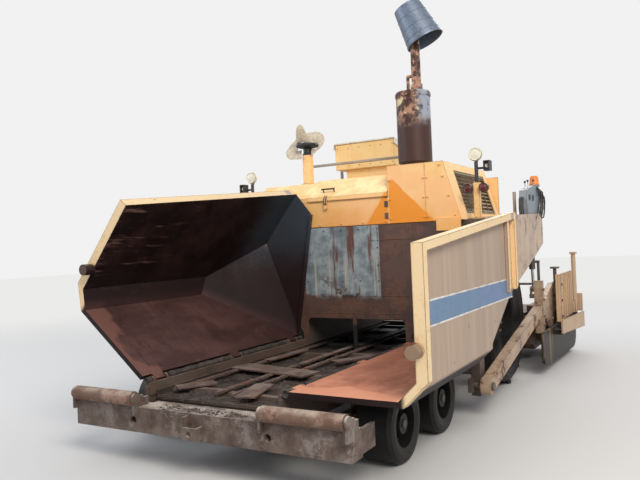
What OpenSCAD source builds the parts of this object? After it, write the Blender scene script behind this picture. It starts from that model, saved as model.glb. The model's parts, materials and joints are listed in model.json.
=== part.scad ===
// Wheeled asphalt paver, hopper to the front (-Y), machine's left on +X, ground at Z = 0.
// Distances along the machine are given from the front face of the push beam and turned
// into Y by at(), because that is how such a machine is drawn.

/* [Machine] */
// Distance from the origin back to the push beam's front face
beam_face = 3112; // [3100:1:3125]
// Half of the width over the push beam
half_width = 1250; // [1230:1:1270]
// Outer face of each side frame from the centreline
frame_x = 640; // [636:1:644]
// Thickness of the side frame plates
frame_t = 25; // [15:1:30]
// Length of the side frames
frame_length = 4680; // [4670:1:4685]
// Bottom of the side frames
frame_z = 350; // [345:1:360]

/* [Push beam] */
// Depth of the box beam
beam_depth = 150; // [130:1:155]
// Bottom of the beam
beam_z = 275; // [260:1:290]
// Height of the beam
beam_height = 192; // [180:1:200]
// Diameter of the round holes in its face
beam_hole_d = 55; // [40:1:70]
// Distance of those holes from the centreline
beam_hole_x = 620; // [580:1:660]
// Depth of those holes
beam_hole_depth = 60; // [40:1:80]
// Diameter of the push rollers
roller_d = 110; // [90:1:112]
// Length of each push roller
roller_length = 630; // [560:1:650]
// Diameter of the roller shafts
roller_shaft_d = 30; // [20:1:40]
// Thickness of the roller brackets
roller_bracket = 20; // [12:1:24]

/* [Hopper] */
// Front of the hopper wings
hopper_front = 160; // [155:1:170]
// Rear face of the wings
hopper_rear = 2500; // [2490:1:2505]
// Hinge axis of the wings from the centreline
hinge_x = 660; // [658:1:664]
// Height of the hinge axis
hinge_z = 620; // [616:1:640]
// Angle at which the right wing stands
wing_raise = 39; // [35:1:41]
// Width of the wing floor
wing_floor = 880; // [860:1:900]
// Outer face of a lowered wing from its hinge
wing_reach = 1050; // [1040:1:1056]
// Depth of the wall frame
wing_wall = 80; // [60:1:90]
// How far the outer panel lies behind the wall frame
wing_recess = 45; // [30:1:55]
// Top of the wall above the hinge, at the front
wing_top_front = 1010; // [990:1:1030]
// Top of the wall above the hinge, at the rear
wing_top_rear = 1240; // [1220:1:1242]
// Thickness of the floor at its edge
wing_floor_t = 40; // [30:1:42]
// Thickness of the closing plate at the rear
wing_plate = 12; // [8:1:16]

/* [Tunnel wall] */
// Front face of the hopper's back wall
wall_y = 2520; // [2515:1:2530]
// Thickness of the back wall
wall_t = 20; // [12:1:24]
// Half width over the two tunnels
tunnel_half = 570; // [540:1:580]
// Top of the tunnels
tunnel_top = 845; // [820:1:860]
// Thickness of the divider between them
tunnel_divider = 40; // [30:1:60]
// Height of the wall's top edge
wall_top = 1812; // [1800:1:1815]

/* [Conveyor] */
// Height of the conveyor deck
deck_z = 500; // [490:1:505]
// Thickness of the deck plates
deck_t = 20; // [12:1:24]
// Height of a flight bar
bar_h = 30; // [24:1:34]
// Width of a flight bar
bar_w = 60; // [50:1:70]

/* [Front wheels] */
// Diameter of a front wheel
front_d = 580; // [570:1:584]
// Width of a front wheel
front_w = 300; // [290:1:304]
// Centre of a front wheel from the centreline
front_x = 1090; // [1086:1:1094]
// First front axle
front_axle_1 = 900; // [895:1:905]
// Second front axle
front_axle_2 = 1740; // [1735:1:1745]
// Kingpin from the centreline
kingpin_x = 1000; // [998:1:1002]
// Diameter of the kingpins
kingpin_d = 40; // [36:1:44]
// Diameter of the wheel spindles
spindle_d = 60; // [50:1:64]

/* [Drive wheels] */
// Diameter of a drive wheel
drive_d = 1400; // [1360:1:1404]
// Width of a drive wheel
drive_w = 400; // [380:1:404]
// Outer face of a drive wheel from the centreline
drive_x = 1300; // [1290:1:1304]
// Drive axle
drive_axle = 3780; // [3770:1:3790]
// Diameter of the rim's outside
drive_rim_d = 700; // [640:1:720]

/* [Hood] */
// Lower edge of the hood
hood_z = 1820; // [1818:1:1830]
// Front edge of the lid
lid_z = 2137; // [2130:1:2145]
// Height of the lid's ridge
ridge_z = 2320; // [2310:1:2330]
// Rear of the hood
hood_rear = 3930; // [3920:1:3935]
// Top of the high box
hood_top = 2400; // [2390:1:2410]
// Left end of the low box, where the high box starts
hood_split = 440; // [430:1:450]
// Half width of the hood at its lower edge
hood_half = 1200; // [1190:1:1204]
// How far the high box leans in from its foot to its top
hood_lean = 170; // [160:1:180]
// Thickness of the hood's sheets
sheet = 12; // [6:1:14]

/* [Exhaust and intake] */
// Diameter of the muffler
muffler_d = 370; // [350:1:380]
// Top of the muffler
muffler_top = 3200; // [3180:1:3220]
// Diameter of the exhaust pipe
pipe_d = 100; // [90:1:110]
// Top of the exhaust pipe
pipe_top = 4120; // [4100:1:4140]
// Diameter of the intake post
intake_d = 120; // [110:1:130]
// Top of the intake post
intake_top = 2670; // [2660:1:2680]

/* [Operator station] */
// Height of the operator deck
platform_z = 1900; // [1895:1:1905]
// Rear edge of the operator deck
platform_rear = 5000; // [4990:1:5010]
// Outer face of the side panels
panel_x = 1400; // [1396:1:1402]
// Bottom of the console box
console_z = 2600; // [2590:1:2610]
// Height of the console box
console_h = 330; // [320:1:350]

/* [Screed] */
// Tow pin behind the push beam's face
tow_y = 2260; // [2255:1:2265]
// Height of the tow pin
tow_z = 300; // [296:1:306]
// Centre of each tow arm from the centreline
arm_x = 1450; // [1448:1:1452]
// Width of a tow arm
arm_w = 90; // [80:1:94]
// Height of a tow arm
arm_h = 130; // [110:1:140]
// Front of the screed behind the auger shaft
screed_back = 220; // [215:1:230]
// Length of the screed from front to rear
screed_depth = 1160; // [1150:1:1170]
// Bottom of the screed plate
screed_z = 160; // [150:1:170]
// Outer face of the end gates
gate_x = 1710; // [1705:1:1715]
// Diameter of the augers
auger_d = 320; // [300:1:330]
// Auger shaft behind the end of the side frames
auger_back = 180; // [175:1:190]
// Height of the auger shaft
auger_z = 430; // [425:1:440]

/* [Hidden] */
$fn = 48;
fit = 0.05;        // radial clearance of a pin or shaft that turns
gap = 6;           // clearance between moving pieces
seat = 0.3;        // clearance between pieces that only stand against each other

// Rear pieces follow the end of the side frames
auger_y = frame_length + auger_back;
hood_half_top = hood_half - hood_lean;
screed_front = auger_y + screed_back;
screed_rear = screed_front + screed_depth;

cream = [0.90, 0.78, 0.55];
rust = [0.36, 0.18, 0.13];
steel = [0.33, 0.31, 0.30];
black = [0.08, 0.08, 0.08];

function at(distance) = distance - beam_face;

// A box between two corners
module block(low, high) {
    translate(low) cube(high - low);
}

// A round bar along X, Y or Z, from a start point
module bar_x(start, length, d) { translate(start) rotate([0, 90, 0]) cylinder(d = d, h = length); }
module bar_y(start, length, d) { translate(start) rotate([-90, 0, 0]) cylinder(d = d, h = length); }
module bar_z(start, length, d) { translate(start) cylinder(d = d, h = length); }

// A plate whose outline is drawn in Y and Z, from x0 on, thickness t towards +X
module side_plate(x0, t, outline) {
    translate([x0, 0, 0]) rotate([90, 0, 90]) linear_extrude(t) polygon(outline);
}

// A plate whose outline is drawn in X and Z, from y0 on, thickness t towards +Y
module cross_plate(y0, t, outline) {
    translate([0, y0 + t, 0]) rotate([90, 0, 0]) linear_extrude(t) polygon(outline);
}

// The same piece on both sides
module both_sides() {
    children();
    mirror([1, 0, 0]) children();
}

// A wing's own frame: X outwards from the hinge, Z up from the hinge
module wing_frame_l() { translate([hinge_x, 0, hinge_z]) children(); }
module wing_frame_r() {
    mirror([1, 0, 0]) translate([hinge_x, 0, hinge_z]) rotate([0, -wing_raise, 0]) children();
}

// Hinges of the wings: centre of each along the machine, and the lengths of its parts
hinge_places = [for (d = [320, 1320, 2300]) at(d)];
hinge_r = 28;
hinge_pin_d = 24;
knuckle_len = 120;
ear_t = 20;

// Floor and wall lines of the wing's section, measured from the hinge
floor_top = 25;
floor_low = floor_top - wing_floor_t;
wing_start = hinge_r + gap + 1;
wall_in = wing_reach - wing_wall;
chamfer_in = 125;
// The rear outer corner is cut by a sloping plate: height = slope_u * u + slope_y * (y - hopper_rear)
corner_rise = 570;
slope_u = (corner_rise - floor_top) / wall_in;
slope_y = 0.5483;
function slope_at(u, d) = floor_top + slope_u * u + slope_y * (d - hopper_rear);
function slope_d(u, v) = hopper_rear + (v - floor_top - slope_u * u) / slope_y;

// Tilt cylinder of a wing: barrel pin on the chassis, rod pin on the wing (from its hinge)
tilt_y = at((front_axle_1 + front_axle_2) / 2);
tilt_pin_x = 700;
tilt_pin_z = 430;
tilt_eye_u = 620;
tilt_eye_v = -75;
tilt_barrel_d = 80;
tilt_barrel_len = 380;
tilt_rod_d = 40;
tilt_pin_d = 30;
eye_slack = 11;    // radial play of the rod's eye where the linkage is opened

// Front bogies
front_z = front_d / 2;
bogie_x0 = 740;
bogie_x1 = 820;
bogie_h = 120;
eye_h = 120;       // height of the kingpin eye
eye_d = 90;
fork_t = 24;

// Back of the push beam's cheek plates
cheek_y = 340;
roller_z = beam_z + beam_height + roller_d / 2 + 8;
roller_y = -10;

// Chassis: two side frames with cross members, hinge sills, lugs, tow columns and rear hangers
frame_top_front = 585;
frame_top_rear = hood_z - seat;
module chassis() {
    color(steel) {
        both_sides() {
            difference() {
                union() {
                    side_plate(frame_x - frame_t, frame_t, [
                        [at(beam_depth + seat), frame_z],
                        [at(frame_length), frame_z],
                        [at(frame_length), 900],
                        [at(frame_length + 160), 1200],
                        [at(frame_length + 160), frame_top_rear],
                        [at(wall_y + wall_t + 20), frame_top_rear],
                        [at(wall_y + wall_t + 20), frame_top_front],
                        [at(beam_depth + seat), frame_top_front]
                    ]);
                    hinge_sill();
                    tilt_lug();
                    bogie_stub();
                    tow_column();
                    deck_bearers();
                    lift_hanger();
                }
                // Access hole over the conveyor, in the engine bay
                bar_x([frame_x - 2 * frame_t, at(3100), 1350], 3 * frame_t, 260);
            }
        }
        cross_members();
        auger_hanger();
    }
}

// Sill with the fixed ears and pins of one wing's hinges
sill_x0 = 600;
module hinge_sill() {
    block([sill_x0, at(hopper_front + 10), frame_top_front - 70],
          [frame_x - 13, at(hopper_rear + 10), hinge_z - 10]);
    for (y = hinge_places) {
        for (side = [-1, 1]) {
            ear_y = y + side * (knuckle_len / 2 + gap + ear_t / 2) - ear_t / 2;
            bar_y([hinge_x, ear_y, hinge_z], ear_t, 2 * hinge_r);
            block([sill_x0 + 10, ear_y, hinge_z - hinge_r], [hinge_x, ear_y + ear_t, hinge_z]);
        }
        bar_y([hinge_x, y - knuckle_len / 2 - gap - ear_t, hinge_z],
              knuckle_len + 2 * gap + 2 * ear_t, hinge_pin_d);
    }
}

// Lug and pin for the barrel of the wing's tilt cylinder
lug_t = 16;
barrel_eye_w = 40;
lug_r = 45;
module tilt_lug() {
    for (side = [-1, 1]) {
        y0 = tilt_y + side * (barrel_eye_w / 2 + 1 + lug_t / 2) - lug_t / 2;
        block([frame_x - 5, y0, tilt_pin_z - 45], [tilt_pin_x, y0 + lug_t, tilt_pin_z + 45]);
        bar_y([tilt_pin_x, y0, tilt_pin_z], lug_t, 2 * lug_r);
    }
    bar_y([tilt_pin_x, tilt_y - barrel_eye_w / 2 - lug_t, tilt_pin_z], barrel_eye_w + 2 * lug_t,
          tilt_pin_d);
}

// Stub shaft that carries the walking beam
stub_d = 90;
module bogie_stub() {
    bar_x([frame_x - 5, tilt_y, front_z], bogie_x0 - frame_x + 5 - seat, stub_d);
    block([frame_x - frame_t, tilt_y - 130, front_z - 80],
          [frame_x, tilt_y + 130, frame_z + 20]);
}

// Column outside the wheels, with the tow pin of one screed arm
column_x0 = 1375;
column_y0 = 2310;
tow_pin_d = 50;
module tow_column() {
    block([frame_x - 5, at(column_y0 + 20), 380], [column_x0, at(column_y0 + 130), 480]);
    block([column_x0 - 85, at(column_y0), 190], [column_x0, at(column_y0 + 150), 600]);
    block([column_x0 - 85, at(tow_y - 60), 240], [column_x0 - 45, at(column_y0 + 10), 360]);
    bar_x([column_x0 - 85, at(tow_y), tow_z], arm_x + arm_w / 2 + 20 - column_x0 + 85, tow_pin_d);
    bar_x([arm_x + arm_w / 2 + gap, at(tow_y), tow_z], 16, tow_pin_d + 30);
}

// Brackets that carry the operator deck and the side panels over the drive wheel
module deck_bearers() {
    for (d = [panel_front, frame_length - 40]) {
        block([frame_x - 5, at(d), frame_top_rear - 70],
              [panel_x - sheet - seat, at(d + 60), frame_top_rear]);
    }
}

// Bracket and pin of one lift cylinder
lift_x = 1330;
lift_pin_y = frame_length + 120;
lift_pin_z = 1560;
lift_pin_d = 30;
lift_eye_w = 40;
module lift_hanger() {
    block([frame_x - 5, at(lift_pin_y - 100), lift_pin_z + 60],
          [lift_x + 45, at(lift_pin_y + 40), lift_pin_z + 130]);
    block([frame_x - frame_t, at(lift_pin_y - 110), lift_pin_z],
          [frame_x, at(lift_pin_y + 40), lift_pin_z + 130]);
    for (side = [-1, 1]) {
        x0 = lift_x + side * (lift_eye_w / 2 + 1 + lug_t / 2) - lug_t / 2;
        block([x0, at(lift_pin_y - 40), lift_pin_z], [x0 + lug_t, at(lift_pin_y + 40), lift_pin_z + 65]);
        bar_x([x0, at(lift_pin_y), lift_pin_z], lug_t, 80);
    }
    bar_x([lift_x - lift_eye_w / 2 - lug_t, at(lift_pin_y), lift_pin_z], lift_eye_w + 2 * lug_t,
          lift_pin_d);
}

// Members between the side frames, under the conveyor and behind the engine
module cross_members() {
    inner = frame_x - frame_t + 5;
    for (d = [240, 1260, wall_y - 80, 3400, frame_length - 180]) {
        block([-inner, at(d), frame_z + 20], [inner, at(d + 90), deck_z - deck_t - seat]);
    }
    block([-inner, at(frame_length - 40), 1100], [inner, at(frame_length - 20), frame_top_rear]);
    block([-inner, at(2700), 930], [inner, at(2790), 950 - seat]);
    block([-inner, at(3640), 930], [inner, at(3730), 950 - seat]);
}

// Hanger in the middle of the augers with their fixed shaft
auger_shaft_d = 60;
module auger_hanger() {
    block([-35, at(auger_y - 60), auger_z - 60], [35, at(auger_y + 60), auger_z + 130]);
    block([-35, at(frame_length - 100), auger_z + 60], [35, at(auger_y + 60), auger_z + 130]);
    block([-frame_x + 10, at(frame_length - 160), auger_z + 60],
          [frame_x - 10, at(frame_length - 80), auger_z + 130]);
    bar_x([-1245, at(auger_y), auger_z], 2490, auger_shaft_d);
}

// Push beam: box with cheek plates, roller brackets, two holes, tow hook
hook_hole_d = 40;
module push_beam() {
    color(steel) difference() {
        union() {
            block([-half_width, at(0), beam_z], [half_width, at(beam_depth), beam_z + beam_height]);
            both_sides() {
                block([half_width - 25, at(beam_depth - 10), beam_z + 20],
                      [half_width, at(cheek_y), beam_z + beam_height - 12]);
                block([frame_x + 20, at(beam_depth - 10), frame_z],
                      [frame_x + 45, at(cheek_y), beam_z + beam_height - 12]);
                roller_brackets();
            }
            block([-560, at(beam_depth - 5), beam_z + beam_height - 12],
                  [560, at(beam_depth + 60), beam_z + beam_height]);
            tow_hook();
        }
        both_sides() {
            bar_y([beam_hole_x, at(-1), beam_z + 92], beam_hole_depth + 1, beam_hole_d);
            roller_bores();
        }
    }
}

roller_in = half_width - 2 * roller_bracket - roller_length - 2 * gap;
module roller_brackets() {
    for (x = [roller_in, half_width - roller_bracket]) {
        block([x, at(roller_y - 30), beam_z + beam_height - 60],
              [x + roller_bracket, at(110), roller_z]);
        bar_x([x, at(roller_y), roller_z], roller_bracket, roller_d - 20);
        block([x, at(roller_y), roller_z - 5], [x + roller_bracket, at(60), roller_z + 20]);
    }
}
module roller_bores() {
    bar_x([roller_in - 1, at(roller_y), roller_z], half_width - roller_in + 2,
          roller_shaft_d + 2 * fit);
}
// Bent flat bar with a pin hole, at the middle of the beam
module tow_hook() {
    difference() {
        union() {
            block([-120, at(-14), beam_z + 120], [-60, at(1), beam_z + 180]);
            block([-75, at(-75), beam_z + 20], [-60, at(1), beam_z + 180]);
            block([-75, at(-75), beam_z + 20], [60, at(-60), beam_z + 110]);
            block([45, at(-75), beam_z + 20], [60, at(1), beam_z + 110]);
        }
        bar_y([-8, at(-76), beam_z + 65], 20, hook_hole_d);
    }
}

module push_roller() {
    color(rust) {
        bar_x([roller_in + roller_bracket + gap, at(roller_y), roller_z], roller_length, roller_d);
        bar_x([roller_in, at(roller_y), roller_z], half_width - roller_in, roller_shaft_d);
    }
}
module push_roller_l() { push_roller(); }
module push_roller_r() { mirror([1, 0, 0]) push_roller(); }

// Conveyor: deck plates with side guides, and the cover plate between the two tracks
conveyor_half = sill_x0 - 10;
conveyor_rear = 4480;
module conveyor_deck() {
    color(steel) {
        block([-conveyor_half, at(220), deck_z - deck_t], [conveyor_half, at(conveyor_rear), deck_z]);
        both_sides()
            block([tunnel_half + 4, at(225), deck_z - 1],
                  [conveyor_half, at(conveyor_rear), deck_z + 52]);
        block([-45, at(wall_y + wall_t + 40), deck_z - 1], [45, at(conveyor_rear), deck_z + 60]);
    }
}

// Flight bars, many of them out of place: [x, distance, length, turn]
bar_table = [
    [-300, 3300, 500, 0], [300, 3300, 500, 0],
    [-300, 3800, 500, 0], [300, 3800, 500, 0],
    [-300, 4300, 500, 0], [300, 4300, 500, 0],
    [-300, 2800, 500, 0], [300, 2800, 500, 0],
    [-310, 470, 480, 4], [250, 430, 560, -3], [-260, 1350, 500, -6], [300, 1180, 480, 5],
    [-280, 2150, 500, 2], [280, 2250, 500, -2]
];
// Loose planks and plates: [x, distance, length, turn, width]
plank_table = [
    [-130, 1200, 850, -9, 240], [-52, 2000, 1000, 90, 60], [-405, 480, 320, 55, 140],
    [190, 470, 440, 105, 160], [-450, 1900, 620, 86, 90], [330, 1950, 560, 60, 110]
];
plank_t = 12;
chain_d = 34;
chain_x = [80, 500];
module conveyor_bars() {
    color(rust) {
        for (b = bar_table)
            translate([b[0], at(b[1]), deck_z + 0.3]) rotate([0, 0, b[3]])
                translate([-b[2] / 2, -bar_w / 2, 0]) cube([b[2], bar_w, bar_h]);
        // Chains: two on each track, lying over the bars
        both_sides() for (x = chain_x)
            block([x - chain_d / 2, at(330), deck_z + bar_h - 4],
                  [x + chain_d / 2, at(conveyor_rear - 30), deck_z + bar_h + 16]);
        both_sides() for (x = chain_x, d = [420 : 200 : conveyor_rear - 200])
            block([x - chain_d / 2 - 10, at(d), deck_z + bar_h + 2],
                  [x + chain_d / 2 + 10, at(d + 115), deck_z + bar_h + 11]);
        // Loose planks and cover plates that lie across the chains
        for (p = plank_table)
            translate([p[0], at(p[1]), deck_z + bar_h + 12]) rotate([0, 0, p[3]])
                translate([-p[2] / 2, -p[4] / 2, 0]) cube([p[2], p[4], plank_t]);
    }
}

// Back wall of the hopper, with the two tunnels and their divider
tunnel_r = 60;
wall_half = hood_half - 10;
wall_low = deck_z + 53;
wall_foot = frame_x - frame_t - 5;
module hopper_back() {
    color(rust) {
        difference() {
            union() {
                cross_plate(at(wall_y), wall_t, [
                    [-wall_foot, wall_low], [wall_foot, wall_low],
                    [wall_foot, frame_top_front + seat], [frame_x - 10, frame_top_front + seat],
                    [frame_x - 10, hinge_z + 60], [wall_half, 1480], [wall_half, wall_top],
                    [-wall_half, wall_top], [-wall_half, 1480], [-frame_x + 10, hinge_z + 60],
                    [-frame_x + 10, frame_top_front + seat], [-wall_foot, frame_top_front + seat]
                ]);
            }
            cross_plate(at(wall_y) - 1, wall_t + 2, [
                [-tunnel_half, wall_low - 1], [tunnel_half, wall_low - 1],
                [tunnel_half, tunnel_top - tunnel_r], [tunnel_half - tunnel_r, tunnel_top],
                [-tunnel_half + tunnel_r, tunnel_top], [-tunnel_half, tunnel_top - tunnel_r]
            ]);
            both_sides()
                bar_y([tunnel_half - tunnel_r, at(wall_y) - 1, tunnel_top - tunnel_r],
                      wall_t + 2, 2 * tunnel_r);
        }
        block([-tunnel_divider / 2, at(wall_y), deck_z + seat],
              [tunnel_divider / 2, at(wall_y + wall_t), tunnel_top + 1]);
        // Roof of the tunnels
        block([-tunnel_half - 8, at(wall_y + 5), tunnel_top],
              [tunnel_half + 8, at(4400), tunnel_top + 14]);
    }
}

// Hopper wing in its own frame: floor, chamfer, wall frame with its panel, closing plate, lugs
module wing() {
    front = at(hopper_front);
    rear = at(hopper_rear);
    out = wing_reach;
    skin_out = wing_reach - wing_recess;
    corner_d = slope_d(wall_in, floor_top + chamfer_in);
    floor_end = slope_d(wall_in - chamfer_in, floor_top);
    color(rust) {
        difference() {
            union() {
                // Floor, with its thick front edge
                translate([0, 0, floor_low]) linear_extrude(wing_floor_t) polygon([
                    [wing_start, front], [wing_floor, front], [wing_floor, at(floor_end)],
                    [wing_start, rear]
                ]);
                for (y = hinge_places) {
                    bar_y([0, y - knuckle_len / 2, 0], knuckle_len, 2 * hinge_r);
                    block([0, y - knuckle_len / 2, floor_low],
                          [wing_start + 20, y + knuckle_len / 2, floor_top]);
                }
                // Chamfer between floor and wall
                cross_plate(front, at(corner_d) - front, [
                    [wall_in - chamfer_in, floor_top], [wall_in - chamfer_in, floor_low],
                    [wing_floor, floor_low], [skin_out, floor_low + skin_out - wing_floor],
                    [skin_out, floor_top + chamfer_in], [wall_in, floor_top + chamfer_in]
                ]);
                wing_panel(wall_in, skin_out);
                wing_frame(front, out);
                // Closing plate at the rear
                cross_plate(rear - wing_plate, wing_plate, [
                    [wing_start, floor_top - 2], [wall_in + 2, corner_rise],
                    [wall_in + 2, wing_top_rear - 4], [674, 1173]
                ]);
                // Cream lip along the inner edge of the closing plate
                cross_plate(rear - 50, 50, [
                    [wing_start, floor_top - 2], [wing_start + 14, floor_top - 2],
                    [686, 1168], [674, 1173]
                ]);
                rear_corner(rear);
                rod_lugs();
                bumper(front);
            }
            for (y = hinge_places)
                bar_y([0, y - knuckle_len / 2 - 1, 0], knuckle_len + 2, hinge_pin_d + 2 * fit);
        }
    }
}

// Wall panel from x0 to x1, with its lower rear corner cut along the sloping plate
module wing_panel(x0, x1) {
    side_plate(x0, x1 - x0, [
        [at(hopper_front), floor_top + chamfer_in],
        [at(slope_d(wall_in, floor_top + chamfer_in)), floor_top + chamfer_in],
        [at(hopper_rear), corner_rise],
        [at(hopper_rear), wing_top_rear],
        [at(hopper_front), wing_top_front]
    ]);
}

// Frame round the panel: front post with the chamfered foot, top rail, rear post, lower lip
rail_h = 60;
post_w = 70;
module wing_frame(front, out) {
    rise = (wing_top_rear - wing_top_front) / (hopper_rear - hopper_front);
    chamfer_out = out - wing_floor;
    cross_plate(front, 14, [
        [wing_floor, floor_low], [out, floor_low + chamfer_out], [out, wing_top_front],
        [wall_in, wing_top_front], [wall_in, floor_top + chamfer_in],
        [wall_in - chamfer_in, floor_top], [wall_in - chamfer_in, floor_low]
    ]);
    intersection() {
        block([wall_in, front, 0], [out, front + post_w, wing_top_rear]);
        cross_plate(front, post_w, [
            [wall_in, floor_low + wall_in - wing_floor], [out, floor_low + chamfer_out],
            [out, wing_top_front], [wall_in, wing_top_front]
        ]);
    }
    side_plate(wall_in, wing_wall, [
        [front, wing_top_front - rail_h], [at(hopper_rear), wing_top_rear - rail_h],
        [at(hopper_rear), wing_top_rear], [front, wing_top_front]
    ]);
    side_plate(wall_in, wing_wall, [
        [at(hopper_rear) - 60, corner_rise - 60 * (corner_rise - floor_top - chamfer_in)
            / (hopper_rear - slope_d(wall_in, floor_top + chamfer_in))],
        [at(hopper_rear), corner_rise], [at(hopper_rear), wing_top_rear - 5],
        [at(hopper_rear) - 60, wing_top_rear - 5 - 60 * rise]
    ]);
    // Stiffener inside the rear post
    side_plate(wall_in, wing_wall - 15, [
        [at(hopper_rear - 260), 520], [at(hopper_rear - 190), 560],
        [at(hopper_rear - 190), wing_top_rear - 60], [at(hopper_rear - 260), wing_top_rear - 70]
    ]);
}

// Sloping plate that closes the cut rear corner: a slab cut to its outline seen from above
corner_t = 20;
module rear_corner(rear) {
    x1 = wall_in - chamfer_in;
    run = sqrt(1 + slope_u * slope_u + slope_y * slope_y);
    lap = 22;
    intersection() {
        translate([0, rear, floor_top]) rotate([asin(slope_y / run), -atan(slope_u), 0])
            translate([-2000, -2000, -corner_t]) cube([4000, 4000, corner_t]);
        translate([0, 0, floor_low]) linear_extrude(1000) polygon([
            [wing_start, at(slope_d(wing_start, floor_top)) - lap], [x1, at(slope_d(x1, floor_top)) - lap],
            [wall_in + 2, at(slope_d(wall_in, floor_top + chamfer_in)) - lap],
            [wall_in + 2, rear], [wing_start, rear]
        ]);
    }
}

// Lugs and pin under the floor for the rod of the tilt cylinder
rod_eye_w = 36;
module rod_lugs() {
    for (side = [-1, 1]) {
        y0 = tilt_y + side * (rod_eye_w / 2 + gap + lug_t / 2) - lug_t / 2;
        block([tilt_eye_u - 40, y0, tilt_eye_v], [tilt_eye_u + 40, y0 + lug_t, floor_low + 1]);
        bar_y([tilt_eye_u, y0, tilt_eye_v], lug_t, 80);
    }
    bar_y([tilt_eye_u, tilt_y - rod_eye_w / 2 - gap - lug_t, tilt_eye_v],
          rod_eye_w + 2 * gap + 2 * lug_t, tilt_pin_d);
}

// Round bumper bar that stands out at the front of the wall
bumper_d = 90;
module bumper(front) {
    bar_y([wall_in + 15, front - 90, 350], 92, bumper_d);
}

module wing_l() { wing_frame_l() wing(); }
module wing_r() { wing_frame_r() wing(); }

// Tilt cylinder, drawn along +X from its pin and turned to the rod's pin
function tilt_angle(raise) = atan2(
    hinge_z + tilt_eye_u * sin(raise) + tilt_eye_v * cos(raise) - tilt_pin_z,
    hinge_x + tilt_eye_u * cos(raise) - tilt_eye_v * sin(raise) - tilt_pin_x);
function tilt_length(raise) = norm([
    hinge_x + tilt_eye_u * cos(raise) - tilt_eye_v * sin(raise) - tilt_pin_x,
    hinge_z + tilt_eye_u * sin(raise) + tilt_eye_v * cos(raise) - tilt_pin_z]);

module at_tilt_pin(raise) {
    translate([tilt_pin_x, tilt_y, tilt_pin_z]) rotate([0, -tilt_angle(raise), 0]) children();
}

module tilt_barrel(raise) {
    color(black) at_tilt_pin(raise) difference() {
        union() {
            bar_x([lug_r + 10, 0, 0], tilt_barrel_len - lug_r - 10, tilt_barrel_d);
            bar_x([tilt_barrel_len - 30, 0, 0], 30, tilt_barrel_d + 14);
            bar_y([0, -barrel_eye_w / 2, 0], barrel_eye_w, 76);
            block([0, -barrel_eye_w / 2, -30], [lug_r + 20, barrel_eye_w / 2, 30]);
        }
        bar_y([0, -barrel_eye_w, 0], 2 * barrel_eye_w, tilt_pin_d + 2 * fit);
        bar_x([90, 0, 0], tilt_barrel_len, tilt_rod_d + 2 * fit);
    }
}

module tilt_rod(raise) {
    eye = tilt_length(raise);
    color("silver") at_tilt_pin(raise) difference() {
        union() {
            bar_x([eye - 430, 0, 0], 400, tilt_rod_d);
            bar_y([eye, -rod_eye_w / 2, 0], rod_eye_w, 76);
        }
        bar_y([eye, -rod_eye_w, 0], 2 * rod_eye_w, tilt_pin_d + 2 * eye_slack);
    }
}
module wing_barrel_l() { tilt_barrel(0); }
module wing_barrel_r() { mirror([1, 0, 0]) tilt_barrel(wing_raise); }
module wing_rod_l() { tilt_rod(0); }
module wing_rod_r() { mirror([1, 0, 0]) tilt_rod(wing_raise); }

// Walking beams with their kingpin eyes, one beam on each side
front_axles = [at(front_axle_1), at(front_axle_2)];
module front_bogies() {
    color(steel) both_sides() difference() {
        union() {
            block([bogie_x0, front_axles[0] - 90, front_z - bogie_h / 2],
                  [bogie_x1, front_axles[1] + 90, front_z + bogie_h / 2]);
            for (y = front_axles) {
                block([bogie_x1 - 5, y - 40, front_z - 45], [kingpin_x, y + 40, front_z + 45]);
                bar_z([kingpin_x, y, front_z - eye_h / 2], eye_h, eye_d);
            }
        }
        for (y = front_axles)
            bar_z([kingpin_x, y, front_z - eye_h], 2 * eye_h, kingpin_d + 2 * fit);
    }
}

// Steering knuckle: fork over the eye, kingpin, spindle and steering arm
spindle_end = 1225;
module knuckle(y) {
    color(steel) {
        for (side = [-1, 1]) {
            z0 = front_z + side * (eye_h / 2 + 1 + fork_t / 2) - fork_t / 2;
            bar_z([kingpin_x, y, z0], fork_t, eye_d);
            block([kingpin_x, y - 40, z0], [kingpin_x + 78, y + 40, z0 + fork_t]);
        }
        bar_z([kingpin_x, y, front_z - eye_h / 2 - 3], eye_h + 6, kingpin_d);
        block([kingpin_x + eye_d / 2 + gap, y - 50, front_z - eye_h / 2 - fork_t],
              [kingpin_x + 78, y + 50, front_z + eye_h / 2 + fork_t]);
        bar_x([kingpin_x + 70, y, front_z], spindle_end - kingpin_x - 70, spindle_d);
    }
}
module knuckle_l1() { knuckle(front_axles[0]); }
module knuckle_l2() { knuckle(front_axles[1]); }
module knuckle_r1() { mirror([1, 0, 0]) knuckle(front_axles[0]); }
module knuckle_r2() { mirror([1, 0, 0]) knuckle(front_axles[1]); }

// Front wheel: solid tyre on a steel band, web plate and hub
rim_inner = 340;
module front_wheel(y) {
    r = front_d / 2;
    x0 = front_x - front_w / 2;
    x1 = front_x + front_w / 2;
    color(black) translate([0, y, front_z]) rotate([0, 90, 0]) difference() {
        rotate_extrude() polygon([
            [spindle_d / 2 + fit, kingpin_x + 78 + gap], [85, kingpin_x + 78 + gap],
            [85, 1110], [rim_inner / 2, 1110], [rim_inner / 2, x0 + 12], [r - 60, x0],
            [r - 22, x0 + 6], [r, x0 + 34], [r, x1 - 34], [r - 22, x1 - 6], [r - 60, x1],
            [rim_inner / 2, x1 - 12], [rim_inner / 2, 1136], [85, 1136], [75, spindle_end - 12],
            [spindle_d / 2 + fit, spindle_end - 12]
        ]);
        // Openings of the web plate
        for (a = [30 : 60 : 330]) rotate([0, 0, a]) translate([128, 0, 1100]) cylinder(d = 44, h = 50);
    }
}
module front_wheel_l1() { front_wheel(front_axles[0]); }
module front_wheel_l2() { front_wheel(front_axles[1]); }
module front_wheel_r1() { mirror([1, 0, 0]) front_wheel(front_axles[0]); }
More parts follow.
